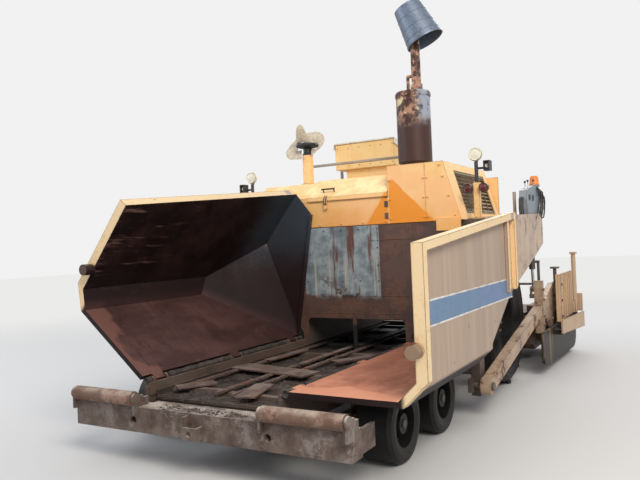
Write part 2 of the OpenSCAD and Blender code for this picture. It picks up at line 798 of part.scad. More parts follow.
module front_wheel_r2() { mirror([1, 0, 0]) front_wheel(front_axles[1]); }

// Final drives: one geared hub housing outside each side frame
drive_z = drive_d / 2;
hub_x0 = 905;
hub_shaft_d = 90;
module final_drives() {
    color(steel) both_sides() {
        bar_x([frame_x + seat, at(drive_axle), drive_z], 30, 460);
        bar_x([frame_x + 10, at(drive_axle), drive_z], 190, 340);
        bar_x([frame_x + 10, at(drive_axle), drive_z], 1130 - frame_x - 10, hub_shaft_d);
    }
}

// Drive wheel: tyre with its lugs left to a tread ring, and a dished rim with a hub
lug_count = 20;
lug_h = 28;
module drive_wheel() {
    r = drive_d / 2;
    core = r - lug_h;
    x0 = drive_x - drive_w;
    mid = drive_x - drive_w / 2;
    color(black) translate([0, at(drive_axle), drive_z]) rotate([0, 90, 0]) {
        difference() {
            rotate_extrude() polygon([
            [hub_shaft_d / 2 + fit, hub_x0], [150, hub_x0], [150, mid + 10],
            [drive_rim_d / 2 - 25, mid + 10], [drive_rim_d / 2 - 25, x0 + 60],
            [drive_rim_d / 2, x0 + 40], [r - 190, x0 + 6], [r - 90, x0], [core - 12, x0 + 36],
            [core, x0 + 70], [core, drive_x - 70], [core - 12, drive_x - 36],
            [r - 90, drive_x], [r - 190, drive_x - 6], [drive_rim_d / 2, drive_x - 40],
            [drive_rim_d / 2 - 25, drive_x - 60], [drive_rim_d / 2 - 25, mid + 34],
            [150, mid + 34], [130, 1150], [hub_shaft_d / 2 + fit, 1150]
            ]);
            for (a = [0 : 45 : 315])
                rotate([0, 0, a]) translate([238, 0, mid]) cylinder(d = 84, h = 50);
        }
        // Lugs: blocks that slope from the middle to alternate shoulders
        for (i = [0 : lug_count - 1]) {
            turn = i * 360 / lug_count;
            side = i % 2 == 0 ? 1 : -1;
            rotate([0, 0, turn]) translate([core - 4, 0, mid + side * 88])
                rotate([side * 32, 0, 0])
                    translate([-6, -24, -118]) cube([lug_h + 4, 48, 216]);
        }
    }
}
module drive_wheel_l() { drive_wheel(); }
module drive_wheel_r() { mirror([1, 0, 0]) drive_wheel(); }

// Engine as one plain block between the side frames
module engine() {
    color("gray") block([-430, at(2720), 950], [430, at(3720), 1740]);
}

// Hood: sheets of the low box and the high box, open below and at the lid
lid_back = 2750;
module hood() {
    front = at(wall_y);
    rear = at(hood_rear);
    color(cream) {
        difference() {
            union() {
                // Low box on the right, with a sloping front that the lid covers
                side_plate(-hood_half, hood_half + hood_split, [
                    [front, hood_z], [rear, hood_z], [rear, ridge_z], [at(lid_back), ridge_z],
                    [front, lid_z]
                ]);
                // High box on the left, its outer side leaning in
                cross_plate(front, rear - front, [
                    [hood_split, hood_z], [hood_half, hood_z], [hood_half_top, hood_top],
                    [hood_split, hood_top]
                ]);
            }
            // Inside of the low box
            side_plate(-hood_half + sheet, hood_half + hood_split - 2 * sheet, [
                [front + sheet, hood_z - 1], [rear - sheet, hood_z - 1],
                [rear - sheet, ridge_z - sheet], [at(lid_back) + sheet, ridge_z - sheet],
                [front + sheet, lid_z - sheet]
            ]);
            // Inside of the high box
            cross_plate(front + sheet, rear - front - 2 * sheet, [
                [hood_split + sheet, hood_z - 1], [hood_half - sheet, hood_z - 1],
                [hood_half_top - sheet, hood_top - sheet], [hood_split + sheet, hood_top - sheet]
            ]);
            // Opening under the lid
            translate([lid_x0 + 60, at(lid_back) - 40, ridge_z])
                rotate([lid_slope, 0, 0])
                    translate([0, -lid_len + 70, -80])
                        cube([lid_x1 - lid_x0 - 120, lid_len - 100, 160]);
            // Seam of the two front sheets
            block([838, front - 1, hood_z - 1], [842, front + 3, hood_top + 1]);
            // Air openings behind the grilles
            grille_window(1);
            grille_window(-1);
        }
        // Bracket under the hood's left end
        block([945, at(wall_y) - 14, wall_top - 90], [hood_half - 10, at(wall_y) - seat, hood_z + 20]);
        block([945, at(wall_y) - 14, hood_z + 2], [hood_half - 10, at(wall_y) + 5, hood_z + 20]);
    }
}
lid_slope = atan2(ridge_z - lid_z, lid_back - wall_y);
lid_len = norm([ridge_z - lid_z, lid_back - wall_y]);

// Window of a side grille in the hood's side
grille_front = 2760;
grille_back = 3800;
grille_low = hood_z + 70;
module grille_window(side) {
    top = side > 0 ? hood_top - 80 : ridge_z - 70;
    x0 = side > 0 ? hood_half - 260 : -hood_half - 20;
    block([x0, at(grille_front), grille_low], [x0 + 280, at(grille_back), top]);
}

// Grilles: frame and slats that fill the windows
slat_pitch = 42;
module hood_grilles() {
    color([0.45, 0.42, 0.2]) {
        lean = atan2(hood_half - hood_half_top, hood_top - hood_z);
        translate([hood_half, 0, hood_z]) rotate([0, -lean, 0])
            grille((hood_top - 80 - grille_low) / cos(lean) - 8, (grille_low - hood_z) / cos(lean) + 4);
        translate([-hood_half, 0, hood_z])
            mirror([1, 0, 0]) grille(ridge_z - 70 - grille_low - 2 * seat, grille_low - hood_z + seat);
    }
}
module grille(height, start) {
    y0 = at(grille_front) + seat;
    y1 = at(grille_back) - seat;
    translate([-sheet + 1, 0, start]) {
        difference() {
            block([0, y0, 0], [8, y1, height]);
            block([-1, y0 + 18, 18], [9, y1 - 18, height - 18]);
        }
        for (z = [24 : slat_pitch : height - 30])
            translate([0, y0 + 10, z]) rotate([0, -30, 0]) cube([4, y1 - y0 - 20, 26]);
        for (d = [1 : 4])
            block([2, y0 + d * (y1 - y0) / 5, 5], [8, y0 + d * (y1 - y0) / 5 + 12, height - 5]);
    }
}

// Lid over the sloping front of the low box, with handle and toggle latch
lid_t = 14;
lid_pin_d = 22;
lid_x0 = -510;
lid_x1 = hood_split - 5;
function lid_at(y, z) = [
    at(lid_back) + y * cos(lid_slope) - z * sin(lid_slope),
    ridge_z + seat + y * sin(lid_slope) + z * cos(lid_slope)
];
module hood_lid() {
    front = at(wall_y);
    color(cream) {
        // Plate with its lip in front, from the hinge barrel down to the latch
        side_plate(lid_x0, lid_x1 - lid_x0, [
            lid_at(11, seat), lid_at(11, lid_t - 1), lid_at(-lid_len - 14, lid_t),
            [front - 21, lid_z - 40], [front - 6, lid_z - 40], [front - 6, lid_z - 4]
        ]);
        bar_x([lid_x0 + 60, at(lid_back) + 8, ridge_z + seat + lid_pin_d / 2],
              lid_x1 - lid_x0 - 120, lid_pin_d);
        translate([0, at(lid_back), ridge_z + seat]) rotate([lid_slope, 0, 0]) {
            for (x = [-330, -200]) bar_z([x, -lid_len + 70, lid_t - 4], 46, 12);
            bar_x([-345, -lid_len + 70, lid_t + 42], 160, 18);
        }
    }
    color("gray") block([-300, front - 30, lid_z - 130], [-262, front - 11, lid_z - 12]);
}

// Muffler on the high box, with its outlet pipe, elbow and clamp
muffler_x = 587;
muffler_y = 2940;
pipe_y = 2960;
module exhaust() {
    top = muffler_top;
    color(rust) {
        translate([muffler_x, at(muffler_y), hood_top + seat]) rotate_extrude() polygon([
            [0, 0], [muffler_d / 2 - 30, 0], [muffler_d / 2 - 30, 40], [muffler_d / 2 - 6, 60],
            [muffler_d / 2 - 6, top - hood_top - 60], [muffler_d / 2 + 2, top - hood_top - 50],
            [muffler_d / 2 + 2, top - hood_top - 20], [muffler_d / 2 - 10, top - hood_top],
            [0, top - hood_top]
        ]);
        bar_z([muffler_x + 40, at(pipe_y), top - 4], 90, pipe_d + 26);
        difference() {
            bar_z([muffler_x + 40, at(pipe_y), top - 4], pipe_top - top, pipe_d);
            bar_z([muffler_x + 40, at(pipe_y), top + 100], pipe_top - top, pipe_d - 12);
        }
        block([muffler_x - 70, at(pipe_y) - 20, top - 2], [muffler_x + 40, at(pipe_y) + 20, top + 16]);
        bar_z([muffler_x - 55, at(pipe_y), top - 2], 190, 34);
        bar_x([muffler_x - 60, at(pipe_y), top + 180], 100, 34);
    }
}

// Pail turned over the exhaust pipe: its bottom rests on the pipe's end, its rim near the pipe
pail_tilt = 24;
pail_nod = 6;
pail_d = 400;
pail_end_d = 300;
pail_h = 420;
pail_wall = 6;
pail_shift = 66;
module exhaust_pail() {
    slope_x = tan(pail_tilt);
    slope_y = tan(pail_nod) / cos(pail_tilt);
    lift = pipe_d / 2 * norm([slope_x, slope_y]) - slope_x * pail_shift + 2 * seat;
    color([0.62, 0.66, 0.70])
        translate([muffler_x + 40 - pail_shift, at(pipe_y), pipe_top + lift])
            rotate([pail_nod, -pail_tilt, 0]) rotate_extrude() polygon([
                [0, 0], [pail_end_d / 2 - pail_wall, 0], [pail_d / 2 - pail_wall, pail_wall - pail_h],
                [pail_d / 2 + 4, pail_wall - pail_h], [pail_d / 2 + 4, pail_wall - pail_h + 12],
                [pail_d / 2, pail_wall - pail_h + 14], [pail_end_d / 2, pail_wall], [0, pail_wall]
            ]);
}

// Air intake: post, rubber collar and flat pre-cleaner
intake_x = -680;
intake_y = 2840;
module intake() {
    h = intake_top - ridge_z - seat;
    color(cream) translate([intake_x, at(intake_y), ridge_z + seat]) rotate_extrude() polygon([
        [0, 0], [intake_d / 2 + 22, 0], [intake_d / 2 + 22, 10], [intake_d / 2, 12],
        [intake_d / 2, h], [intake_d / 2 - 12, h + 8], [intake_d / 2 - 12, h + 60], [126, h + 82],
        [130, h + 96], [122, h + 116], [60, h + 130], [0, h + 132]
    ]);
}

// Straw hat that hangs on the pre-cleaner as a rain cover
module intake_hat() {
    color([0.85, 0.78, 0.62])
        translate([intake_x, at(intake_y), intake_top + 132 + 1]) rotate([-4, -18, 0])
            translate([-20, 0, 25.6]) rotate_extrude() polygon([
                [0, 190], [28, 186], [62, 120], [84, 30], [92, 8], [232, -22], [232, -28],
                [88, 0], [76, 26], [54, 112], [22, 176], [0, 180]
            ]);
}

// Posts of the work lamps on the hopper's rear corners
lamp_x = hood_half + 125;
lamp_y = 2635;
lamp_top = 2440;
module lamp_posts() {
    color(cream) both_sides() {
        block([lamp_x - 30, at(lamp_y) - 25, frame_top_rear + seat],
              [lamp_x + 30, at(lamp_y) + 25, lamp_top - 270]);
        block([lamp_x - 117, at(lamp_y) - 12, lamp_top - 346],
              [lamp_x + 117, at(lamp_y) + 6, lamp_top - 306]);
        bar_z([lamp_x, at(lamp_y), lamp_top - 272], 200, 36);
        bar_x([lamp_x, at(lamp_y), lamp_top - 136], 84, 22);
        block([lamp_x - 50, at(lamp_y) - 30, frame_top_rear + seat],
              [lamp_x + 50, at(lamp_y) + 40, frame_top_rear + 14]);
    }
}

// Work lamps, marker lamps and the small hooded lamp beside them
module work_lamps() {
    color("ivory") both_sides() {
        translate([lamp_x, at(lamp_y), lamp_top]) rotate([90, 0, 0]) rotate_extrude() polygon([
            [0, -46], [30, -44], [62, -14], [68, 8], [64, 20], [30, 28], [0, 30]
        ]);
        bar_z([lamp_x, at(lamp_y) + 20, lamp_top - 72 + seat], 40, 30);
        for (side = [-1, 1])
            bar_y([lamp_x + side * 75, at(lamp_y) - 12 - 46 - seat, lamp_top - 326], 46, 88);
        difference() {
            block([lamp_x + 84 + seat, at(lamp_y) - 60, lamp_top - 168],
                  [lamp_x + 142, at(lamp_y) + 34, lamp_top - 72]);
            block([lamp_x + 94, at(lamp_y) - 61, lamp_top - 158],
                  [lamp_x + 132, at(lamp_y) - 30, lamp_top - 82]);
        }
    }
}

// Operator deck with its front wall and steps
deck_front = 3950;
deck_half = 1180;
module operator_deck() {
    z0 = frame_top_rear + seat;
    color(cream) {
        difference() {
            block([-deck_half, at(deck_front), z0], [deck_half, at(platform_rear), platform_z]);
            block([-deck_half + 60, at(deck_front + 60), z0 - 1],
                  [deck_half - 60, at(platform_rear - 60), platform_z - 8]);
        }
        // Front wall behind the hood
        block([-deck_half, at(deck_front), platform_z - 1], [deck_half, at(deck_front + 16), ridge_z]);
        // Ladder at the rear
        both_sides() {
            for (x = [760, 1140])
                block([x, at(platform_rear - 40), 1150], [x + 30, at(platform_rear - 2), z0 + 5]);
            for (z = [1170, 1440, 1700])
                block([760, at(platform_rear - 40), z], [1170, at(platform_rear - 2), z + 24]);
        }
    }
}

// Rails: transverse rail in front of the console and the guard rails at the sides
rail_d = 34;
rail_post_d = 42;
front_rail_z = 2620;
guard_rail_z = 2900;
module rail_post(x, d, top) {
    bar_z([x, at(d), platform_z + seat], top - platform_z - seat, rail_post_d);
}
module deck_rails() {
    back = platform_rear - 60;
    across = hood_rear - 370;
    color("silver") {
        // Rail across the hood in front of the console
        bar_x([-1110, at(across), front_rail_z], 1410, rail_d);
        for (x = [-1090, 280])
            bar_z([x, at(across), ridge_z + seat], front_rail_z - ridge_z, rail_post_d);
        // Guard rail on the right side and behind the chair
        for (d = [4480, back]) rail_post(-1120, d, guard_rail_z + 30);
        for (z = [front_rail_z - 140, guard_rail_z])
            bar_y([-1120, at(4480), z], back - 4480, rail_d);
        bar_x([-1120, at(back), guard_rail_z - 6], 1060, rail_d);
        rail_post(-80, back, guard_rail_z + 24);
        // Low post on the left
        rail_post(1120, back, 2200);
    }
}

// Console: pedestal with a rounded front, and the control box on it
console_x0 = -970;
console_x1 = -130;
console_y = 4040;
console_d = 360;
module console() {
    y0 = at(console_y);
    color([0.93, 0.76, 0.36]) {
        difference() {
            side_plate(console_x0, console_x1 - console_x0, [
                [y0, console_z], [y0 + console_d, console_z],
                [y0 + console_d, console_z + console_h - 90], [y0, console_z + console_h]
            ]);
            side_plate(console_x0 + sheet, console_x1 - console_x0 - 2 * sheet, [
                [y0 + sheet, console_z + 150], [y0 + console_d - sheet, console_z + 150],
                [y0 + console_d - sheet, console_z + console_h], [y0 + sheet, console_z + console_h + 1]
            ]);
        }
        // Pedestal
        block([console_x0 + 120, y0 + 70, platform_z + seat],
              [console_x1 - 120, y0 + 250, console_z + 1]);
        // Steering column housing
        difference() {
            steering_place() bar_z([0, 0, -560], 520, 60);
            steering_place() bar_z([0, 0, -260], 300, steering_shaft_d + 2 * fit);
        }
        // Rounded cowl between the deck's front wall and the console
        intersection() {
            block([console_x0 + 40, y0 - 30, ridge_z + 20], [console_x1 + 40, y0 + 80, ridge_z + 170]);
            bar_x([console_x0 + 30, y0 + 80, ridge_z + 40], console_x1 - console_x0 + 40, 220);
        }
    }
}

// Weather lid of the console, hinged at its rear edge
lid_fall = atan2(90, console_d);
module console_lid() {
    color([0.88, 0.86, 0.78])
        translate([0, at(console_y), console_z + console_h + 1]) rotate([-lid_fall, 0, 0]) {
            block([console_x0 - 12, -14, 0], [console_x1 + 12, console_d / cos(lid_fall) + 6, 14]);
            bar_x([console_x0 + 40, -14, 7], console_x1 - console_x0 - 80, 20);
            for (x = [console_x0 - 12, console_x1 + 6])
                block([x, -14, -60], [x + 5.5, console_d / cos(lid_fall) + 6, 1]);
        }
}

// Operator chair: pedestal, cushion and back
module operator_chair() {
    color(black) translate([-550, at(4660), platform_z + seat]) {
        bar_z([0, 0, 0], 330, 120);
        block([-150, -150, 0], [150, 150, 20]);
        block([-230, -230, 325], [230, 230, 430]);
        translate([0, 200, 420]) rotate([-12, 0, 0]) block([-220, -10, 0], [220, 80, 470]);
    }
}

// Steering wheel on its column in front of the chair
wheel_tilt = 35;
steering_shaft_d = 24;
module steering_place() {
    translate([-550, at(console_y + console_d + 200), console_z + 100]) rotate([-wheel_tilt, 0, 0])
        children();
}
module steering_wheel() {
    color(black) steering_place() {
        rotate_extrude() translate([170, 0]) circle(d = 24);
        for (a = [0, 120, 240]) rotate([0, 0, a]) bar_x([20, 0, -4], 145, 16);
        bar_z([0, 0, -30], 50, 70);
        bar_z([0, 0, -240], 220, steering_shaft_d);
    }
}

// Side panels over the drive wheels, with the walkway on top
panel_front = 2600;
panel_rear = 5200;
module side_panels() {
    top = frame_top_rear + seat;
    color(cream) both_sides() {
        side_plate(panel_x - sheet, sheet, [
            [at(panel_front), 1250], [at(3100), 1050], [at(3520), 1055], [at(4570), 1340],
            [at(panel_rear), 1530], [at(panel_rear), platform_z + 20], [at(panel_front), top + 14]
        ]);
        block([hood_half + 1, at(panel_front + 90), top], [panel_x - sheet + 1, at(3940), top + 14]);
        block([deck_half + 8, at(3940), top], [panel_x - sheet + 1, at(panel_rear), top + 14]);
        // Stiffening ribs inside the panel
        for (d = [3000, 4200])
            block([panel_x - sheet - 40, at(d), 1240], [panel_x - sheet + 1, at(d + 12), top + 1]);
    }
}

// Side console with its bent bracket, on the left walkway
side_console_y = 4450;
beacon_x = deck_half + 165;
module side_console() {
    z0 = frame_top_rear + 14 + 2 * seat;
    y0 = at(side_console_y);
    color([0.45, 0.52, 0.58]) {
        block([deck_half + 100, y0 + 80, z0], [deck_half + 206, y0 + 640, z0 + 24]);
        side_plate(deck_half + 112, 90, [
            [y0 + 60, z0 + 14], [y0 + 600, z0 + 14], [y0 + 700, z0 + 190], [y0 + 700, 2262],
            [y0 + 420, 2262], [y0 + 30, 2180], [y0, z0 + 240]
        ]);
        bar_z([beacon_x, y0 + 630, 2258], 21, 130);
    }
}

// Orange beacon on the side console
module beacon() {
    color("orange") translate([beacon_x, at(side_console_y + 630), 2279 + seat]) rotate_extrude() polygon([
        [0, 0], [62, 0], [62, 22], [56, 26], [53, 92], [40, 116], [0, 124]
    ]);
}

// Tank under the left side, behind the front wheels: a box with round edges, brackets, drain cup
tank_front = 2550;
tank_rear = 3010;
tank_r = 90;
module tank() {
    color(black) {
        difference() {
            union() {
                block([frame_x + 60, at(tank_front), 400 + tank_r], [1180, at(tank_rear), 900 - tank_r]);
                block([frame_x + 60, at(tank_front + tank_r), 400], [1180, at(tank_rear - tank_r), 900]);
                for (d = [tank_front + tank_r, tank_rear - tank_r], z = [400 + tank_r, 900 - tank_r])
                    bar_x([frame_x + 60, at(d), z], 1120 - frame_x, 2 * tank_r);
            }
        }
        for (d = [tank_front + 100, tank_rear - 180])
            block([frame_x + seat, at(d), 700], [frame_x + 70, at(d + 80), 800]);
        bar_z([1120, at(tank_front + 120), 340], 70, 100);
    }
}

// Tow arms: tapered beams with the eye of the tow pin in front and the screed bracket behind
arm_rear = lift_pin_y + 130;
arm_rear_z = 815;
arm_eye_d = 150;
module tow_arms() {
    rise = atan2(arm_rear_z - tow_z, arm_rear - tow_y);
    len = norm([arm_rear_z - tow_z, arm_rear - tow_y]);
    color(cream) both_sides() difference() {
        union() {
            bar_x([arm_x - arm_w / 2, at(tow_y), tow_z], arm_w, arm_eye_d);
            translate([0, at(tow_y), tow_z]) rotate([rise, 0, 0]) {
                side_plate(arm_x - arm_w / 2, arm_w, [
                    [0, 8 - arm_eye_d / 2], [700, -arm_h / 2 - 6], [len, -arm_h / 2],
                    [len, arm_h / 2], [700, arm_h / 2 + 6], [0, arm_eye_d / 2 - 8]
                ]);
            }
            // Gusset down to the screed
            side_plate(arm_x - arm_w / 2 + 10, arm_w - 20, [
                [at(arm_rear - 330), 690], [at(arm_rear), 480], [at(arm_rear + 400), 470],
                [at(arm_rear + 490), 560], [at(arm_rear + 490), 900], [at(arm_rear + 370), 1010],
                [at(arm_rear - 60), 880]
            ]);
            // Upright on the arm
            block([arm_x - 50, at(arm_rear - 390), 455], [arm_x + 50, at(arm_rear - 310), 1085]);
            // Lug for the lift cylinder's rod
            for (side = [-1, 1]) {
                x0 = lift_x + side * (lift_rod_w / 2 + gap + lug_t / 2) - lug_t / 2;
                bar_x([x0, at(lift_eye_y), lift_eye_z], lug_t, 80);
                block([x0, at(lift_eye_y - 37), lift_eye_z - 100],
                      [x0 + lug_t, at(lift_eye_y + 37), lift_eye_z]);
            }
            bar_x([lift_x - lift_rod_w / 2 - gap - lug_t, at(lift_eye_y), lift_eye_z],
                  lift_rod_w + 2 * gap + 2 * lug_t, lift_pin_d);
            block([lift_x - 46, at(lift_eye_y - 40), lift_eye_z - 110],
                  [arm_x, at(lift_eye_y + 40), lift_eye_z - 60]);
            // Cross piece to the screed's end frame
            block([1262, at(screed_front + 100), 520], [arm_x + 30, at(screed_front + 220), 640]);
        }
        bar_x([arm_x - arm_w, at(tow_y), tow_z], 2 * arm_w, tow_pin_d + 2 * fit);
    }
}

// Screed: main box with strike-off and plate, extension boxes behind it, spindle towers
screed_half = 1250;
main_rear = screed_front + 620;
box_h = 430;
module screed_body() {
    color(steel) {
        side_plate(-screed_half, 2 * screed_half, [
            [at(screed_front), screed_z + 60], [at(screed_front + 60), screed_z],
            [at(main_rear), screed_z], [at(main_rear), screed_z + box_h],
            [at(screed_front), screed_z + box_h]
        ]);
        both_sides() {
            side_plate(320, gate_in - seat - 320, [
                [at(main_rear + seat), screed_z + 40], [at(main_rear + 40), screed_z],
                [at(screed_rear), screed_z], [at(screed_rear), screed_z + 330],
                [at(main_rear + seat), screed_z + 330]
            ]);
            // Guide tubes of the extension
            for (z = [screed_z + 130, screed_z + 260])
                bar_x([340, at(main_rear - 30), z], gate_in - 345, 70);
            // End frame that takes the tow arm, and the thickness spindle on its bracket
            block([1160, at(screed_front + 100), screed_z + box_h - 1],
                  [1262 - seat, at(screed_front + 560), 720]);
            block([screed_half - 10, at(screed_front + 350), 480], [1510, at(screed_front + 560), 560]);
            block([1424, at(screed_front + 430), 470], [1500, at(screed_front + 520), 1000]);
            bar_z([1462, at(screed_front + 475), 990], 200, 46);
            bar_z([1462, at(screed_front + 475), 1180], 24, 120);
        }
    }
}

// End gates: sled-like plates, a rubbing plate on brackets, and a ribbed wall with its posts
gate_t = 30;
gate_in = gate_x - 160;
gate_ribs = 6;
module end_gates() {
    gate_front = at(auger_y - 760);
    gate_rear = at(screed_rear + 60);
    wall_start = at(screed_front + 60);
    wall_end = gate_rear - 130;
    color(black) both_sides() {
        side_plate(gate_in, gate_t, [
            [gate_front, 250], [gate_front + 55, 165], [gate_front + 170, 120],
            [gate_rear - 260, 62], [gate_rear - 110, 90], [gate_rear - 20, 180], [gate_rear, 300],
            [gate_rear, 500], [gate_front + 40, 520], [gate_front, 480]
        ]);
        // Rubbing plate outside, on three brackets
        side_plate(gate_x - 20, 20, [
            [gate_front + 490, 450], [gate_rear - 70, 335], [gate_rear - 70, 540],
            [gate_front + 490, 612]
        ]);
        for (y = [gate_front + 620, (gate_front + gate_rear) / 2 + 180, gate_rear - 200])
            block([gate_in + gate_t - 1, y, 420], [gate_x - 19, y + 60, 476]);
        // Ribbed wall over the gate
        block([gate_in + 4, wall_start, 470], [gate_in + 20, wall_end, 1116]);
        for (k = [0 : gate_ribs - 1])
            block([gate_in + 12, wall_start + 90 + k * (wall_end - wall_start - 130) / gate_ribs, 530],
                  [gate_in + 46, wall_start + 120 + k * (wall_end - wall_start - 130) / gate_ribs, 1106]);
        block([gate_in + 2, wall_start - 60, 440], [gate_in + 66, wall_start + 10, 1126]);
        // Rear post with its cap and stop block
        block([gate_in + 6, gate_rear - 150, 480], [gate_in + 56, gate_rear - 96, 700]);
        bar_z([gate_in + 50, gate_rear - 110, 474], 880, 60);
        bar_z([gate_in + 50, gate_rear - 110, 1350], 26, 96);
        block([gate_in + 58, gate_rear - 92, 548], [gate_in + 138, gate_rear - 22, 790]);
    }
}

// Walkway over the screed with its rear guard rail
module screed_walkway() {
    z0 = screed_z + box_h + seat;
    color("dimgray") {
        block([-1150, at(screed_front + 60), z0], [1150, at(main_rear + 20), z0 + 40]);
        block([-1150, at(main_rear + 20), screed_z + 330 + seat], [1150, at(screed_rear - 20), z0 + 40]);
        for (x = [-1120, 0, 1120])
            bar_z([x, at(screed_rear - 60), z0 + 35], 640, 40);
        bar_x([-1140, at(screed_rear - 60), z0 + 660], 2280, 40);
        bar_x([-1140, at(screed_rear - 60), z0 + 340], 2280, 34);
    }
}

// Auger: tube with a screw of flight segments, turning on the fixed shaft
flight_pitch = 300;
flight_t = 16;
auger_x0 = 48;
auger_len = 1180;
module auger(hand) {
    color(steel) translate([auger_x0, at(auger_y), auger_z]) rotate([0, 90, 0]) {
        difference() {
            cylinder(d = auger_shaft_d + 40, h = auger_len);
            translate([0, 0, -1]) cylinder(d = auger_shaft_d + 2 * fit, h = auger_len + 2);
        }
        steps = 16;
        for (k = [0 : floor((auger_len - 60) / flight_pitch * steps) - 1])
            rotate([0, 0, hand * k * 360 / steps]) translate([0, 0, 20 + k * flight_pitch / steps])
                difference() {
                    intersection() {
                        cylinder(d = auger_d, h = flight_t + flight_pitch / steps);
                        linear_extrude(flight_t + flight_pitch / steps)
                            polygon([[0, 0], [auger_d, -auger_d * tan(180 / steps)],
                                     [auger_d, auger_d * tan(180 / steps)]]);
                    }
                    translate([0, 0, -1]) cylinder(d = auger_shaft_d + 20, h = flight_pitch);
                }
    }
}
module auger_l() { auger(1); }
module auger_r() { mirror([1, 0, 0]) auger(1); }

// Lift cylinder: barrel pin on the chassis, rod pin on the tow arm
lift_eye_y = lift_pin_y + 50;
lift_eye_z = 960;
lift_barrel_d = 76;
lift_barrel_len = 346;
lift_rod_d = 36;
lift_rod_w = 34;
lift_lean = atan2(lift_eye_y - lift_pin_y, lift_pin_z - lift_eye_z);
lift_len = norm([lift_eye_y - lift_pin_y, lift_pin_z - lift_eye_z]);
module at_lift_pin() {
    translate([lift_x, at(lift_pin_y), lift_pin_z]) rotate([lift_lean, 0, 0]) children();
}
module lift_barrel() {
    color(black) at_lift_pin() difference() {
        union() {
            bar_z([0, 0, -lift_barrel_len], lift_barrel_len - 40, lift_barrel_d);
            bar_x([-lift_eye_w / 2, 0, 0], lift_eye_w, 70);
            block([-lift_eye_w / 2, -28, -50], [lift_eye_w / 2, 28, 0]);
        }
        bar_x([-lift_eye_w, 0, 0], 2 * lift_eye_w, lift_pin_d + 2 * fit);
        bar_z([0, 0, -lift_barrel_len - 1], lift_barrel_len - 57, lift_rod_d + 2 * fit);
    }
}
module lift_rod() {
    color("silver") at_lift_pin() difference() {
        union() {
            bar_z([0, 0, -lift_len + 28], lift_len - 280, lift_rod_d);
            bar_x([-lift_rod_w / 2, 0, -lift_len], lift_rod_w, 70);
        }
        bar_x([-lift_rod_w, 0, -lift_len], 2 * lift_rod_w, lift_pin_d + 2 * eye_slack);
    }
}
module lift_barrel_l() { lift_barrel(); }
module lift_barrel_r() { mirror([1, 0, 0]) lift_barrel(); }
module lift_rod_l() { lift_rod(); }
module lift_rod_r() { mirror([1, 0, 0]) lift_rod(); }

chassis();
push_beam();
push_roller_l();
push_roller_r();
conveyor_deck();
conveyor_bars();
hopper_back();
wing_l();
wing_r();
wing_barrel_l();
wing_barrel_r();
wing_rod_l();
wing_rod_r();
front_bogies();
knuckle_l1();
knuckle_l2();
knuckle_r1();
knuckle_r2();
front_wheel_l1();
front_wheel_l2();
front_wheel_r1();
front_wheel_r2();
final_drives();
drive_wheel_l();
drive_wheel_r();
engine();
hood();
hood_lid();
hood_grilles();
exhaust();
exhaust_pail();
intake();
intake_hat();
lamp_posts();
work_lamps();
operator_deck();
deck_rails();
console();
console_lid();
operator_chair();
steering_wheel();
side_panels();
side_console();
beacon();
tank();
tow_arms();
screed_body();
end_gates();
screed_walkway();
auger_l();
auger_r();
lift_barrel_l();
lift_barrel_r();
lift_rod_l();
lift_rod_r();
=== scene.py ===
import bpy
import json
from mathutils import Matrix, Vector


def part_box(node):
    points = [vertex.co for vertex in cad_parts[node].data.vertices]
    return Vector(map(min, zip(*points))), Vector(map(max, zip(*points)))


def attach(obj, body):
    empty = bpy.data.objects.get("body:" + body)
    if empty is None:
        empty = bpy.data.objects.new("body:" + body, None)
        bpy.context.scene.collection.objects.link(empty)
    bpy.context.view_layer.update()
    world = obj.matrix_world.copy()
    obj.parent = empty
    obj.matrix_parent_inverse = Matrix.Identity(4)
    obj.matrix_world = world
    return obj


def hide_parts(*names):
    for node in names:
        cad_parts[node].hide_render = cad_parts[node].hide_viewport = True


bl_info = {
    "name": "Wheeled Paver Dressing",
    "version": (1, 0, 0),
    "blender": (4, 5, 0),
    "location": "3D View > Sidebar > Paver",
    "description": "Finishes and small parts of a worn wheeled asphalt paver round its CAD model",
    "category": "Object",
}

import json
import math

import bmesh
import bpy
import numpy as np
from mathutils import Matrix, Vector

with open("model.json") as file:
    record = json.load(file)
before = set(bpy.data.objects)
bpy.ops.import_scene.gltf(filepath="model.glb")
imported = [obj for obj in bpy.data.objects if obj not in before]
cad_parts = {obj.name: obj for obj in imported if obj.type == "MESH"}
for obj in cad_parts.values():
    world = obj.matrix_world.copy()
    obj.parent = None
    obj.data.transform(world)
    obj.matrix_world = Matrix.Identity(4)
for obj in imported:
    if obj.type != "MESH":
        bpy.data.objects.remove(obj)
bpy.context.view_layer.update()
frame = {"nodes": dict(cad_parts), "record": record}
NODES = frame["nodes"]

# The tow hook stands this far in front of the push beam's face
HOOK_REACH = 0.075
FACE_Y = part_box("push_beam")[0].y + HOOK_REACH
# Hinge line of the hopper wings, and the angle at which the right one stands
HINGE_X = 0.660
HINGE_Z = 0.620
RAISED = math.radians(39)
SEED = 7
# Hood: foot, top, half width at the foot, and how far its side leans in
HOOD_Z, HOOD_TOP, HOOD_HALF, HOOD_LEAN = 1.820, 2.400, 1.200, 0.170
WALL_DISTANCE = 2.520
# Rise of the hood lid along Y, and its height over that slope
LID_RISE, LID_FOOT = 0.7957, 2.608
LAMP_X, LAMP_DISTANCE = 1.325, 2.635
PAIL_TOP_R, PAIL_RIM_R, PAIL_DEPTH = 0.150, 0.200, 0.406
TREAD_PITCH, BEAD_STEP = 0.058, 0.012


def at(distance):
    """Y of a place that lies this far behind the push beam's face."""
    return FACE_Y + distance


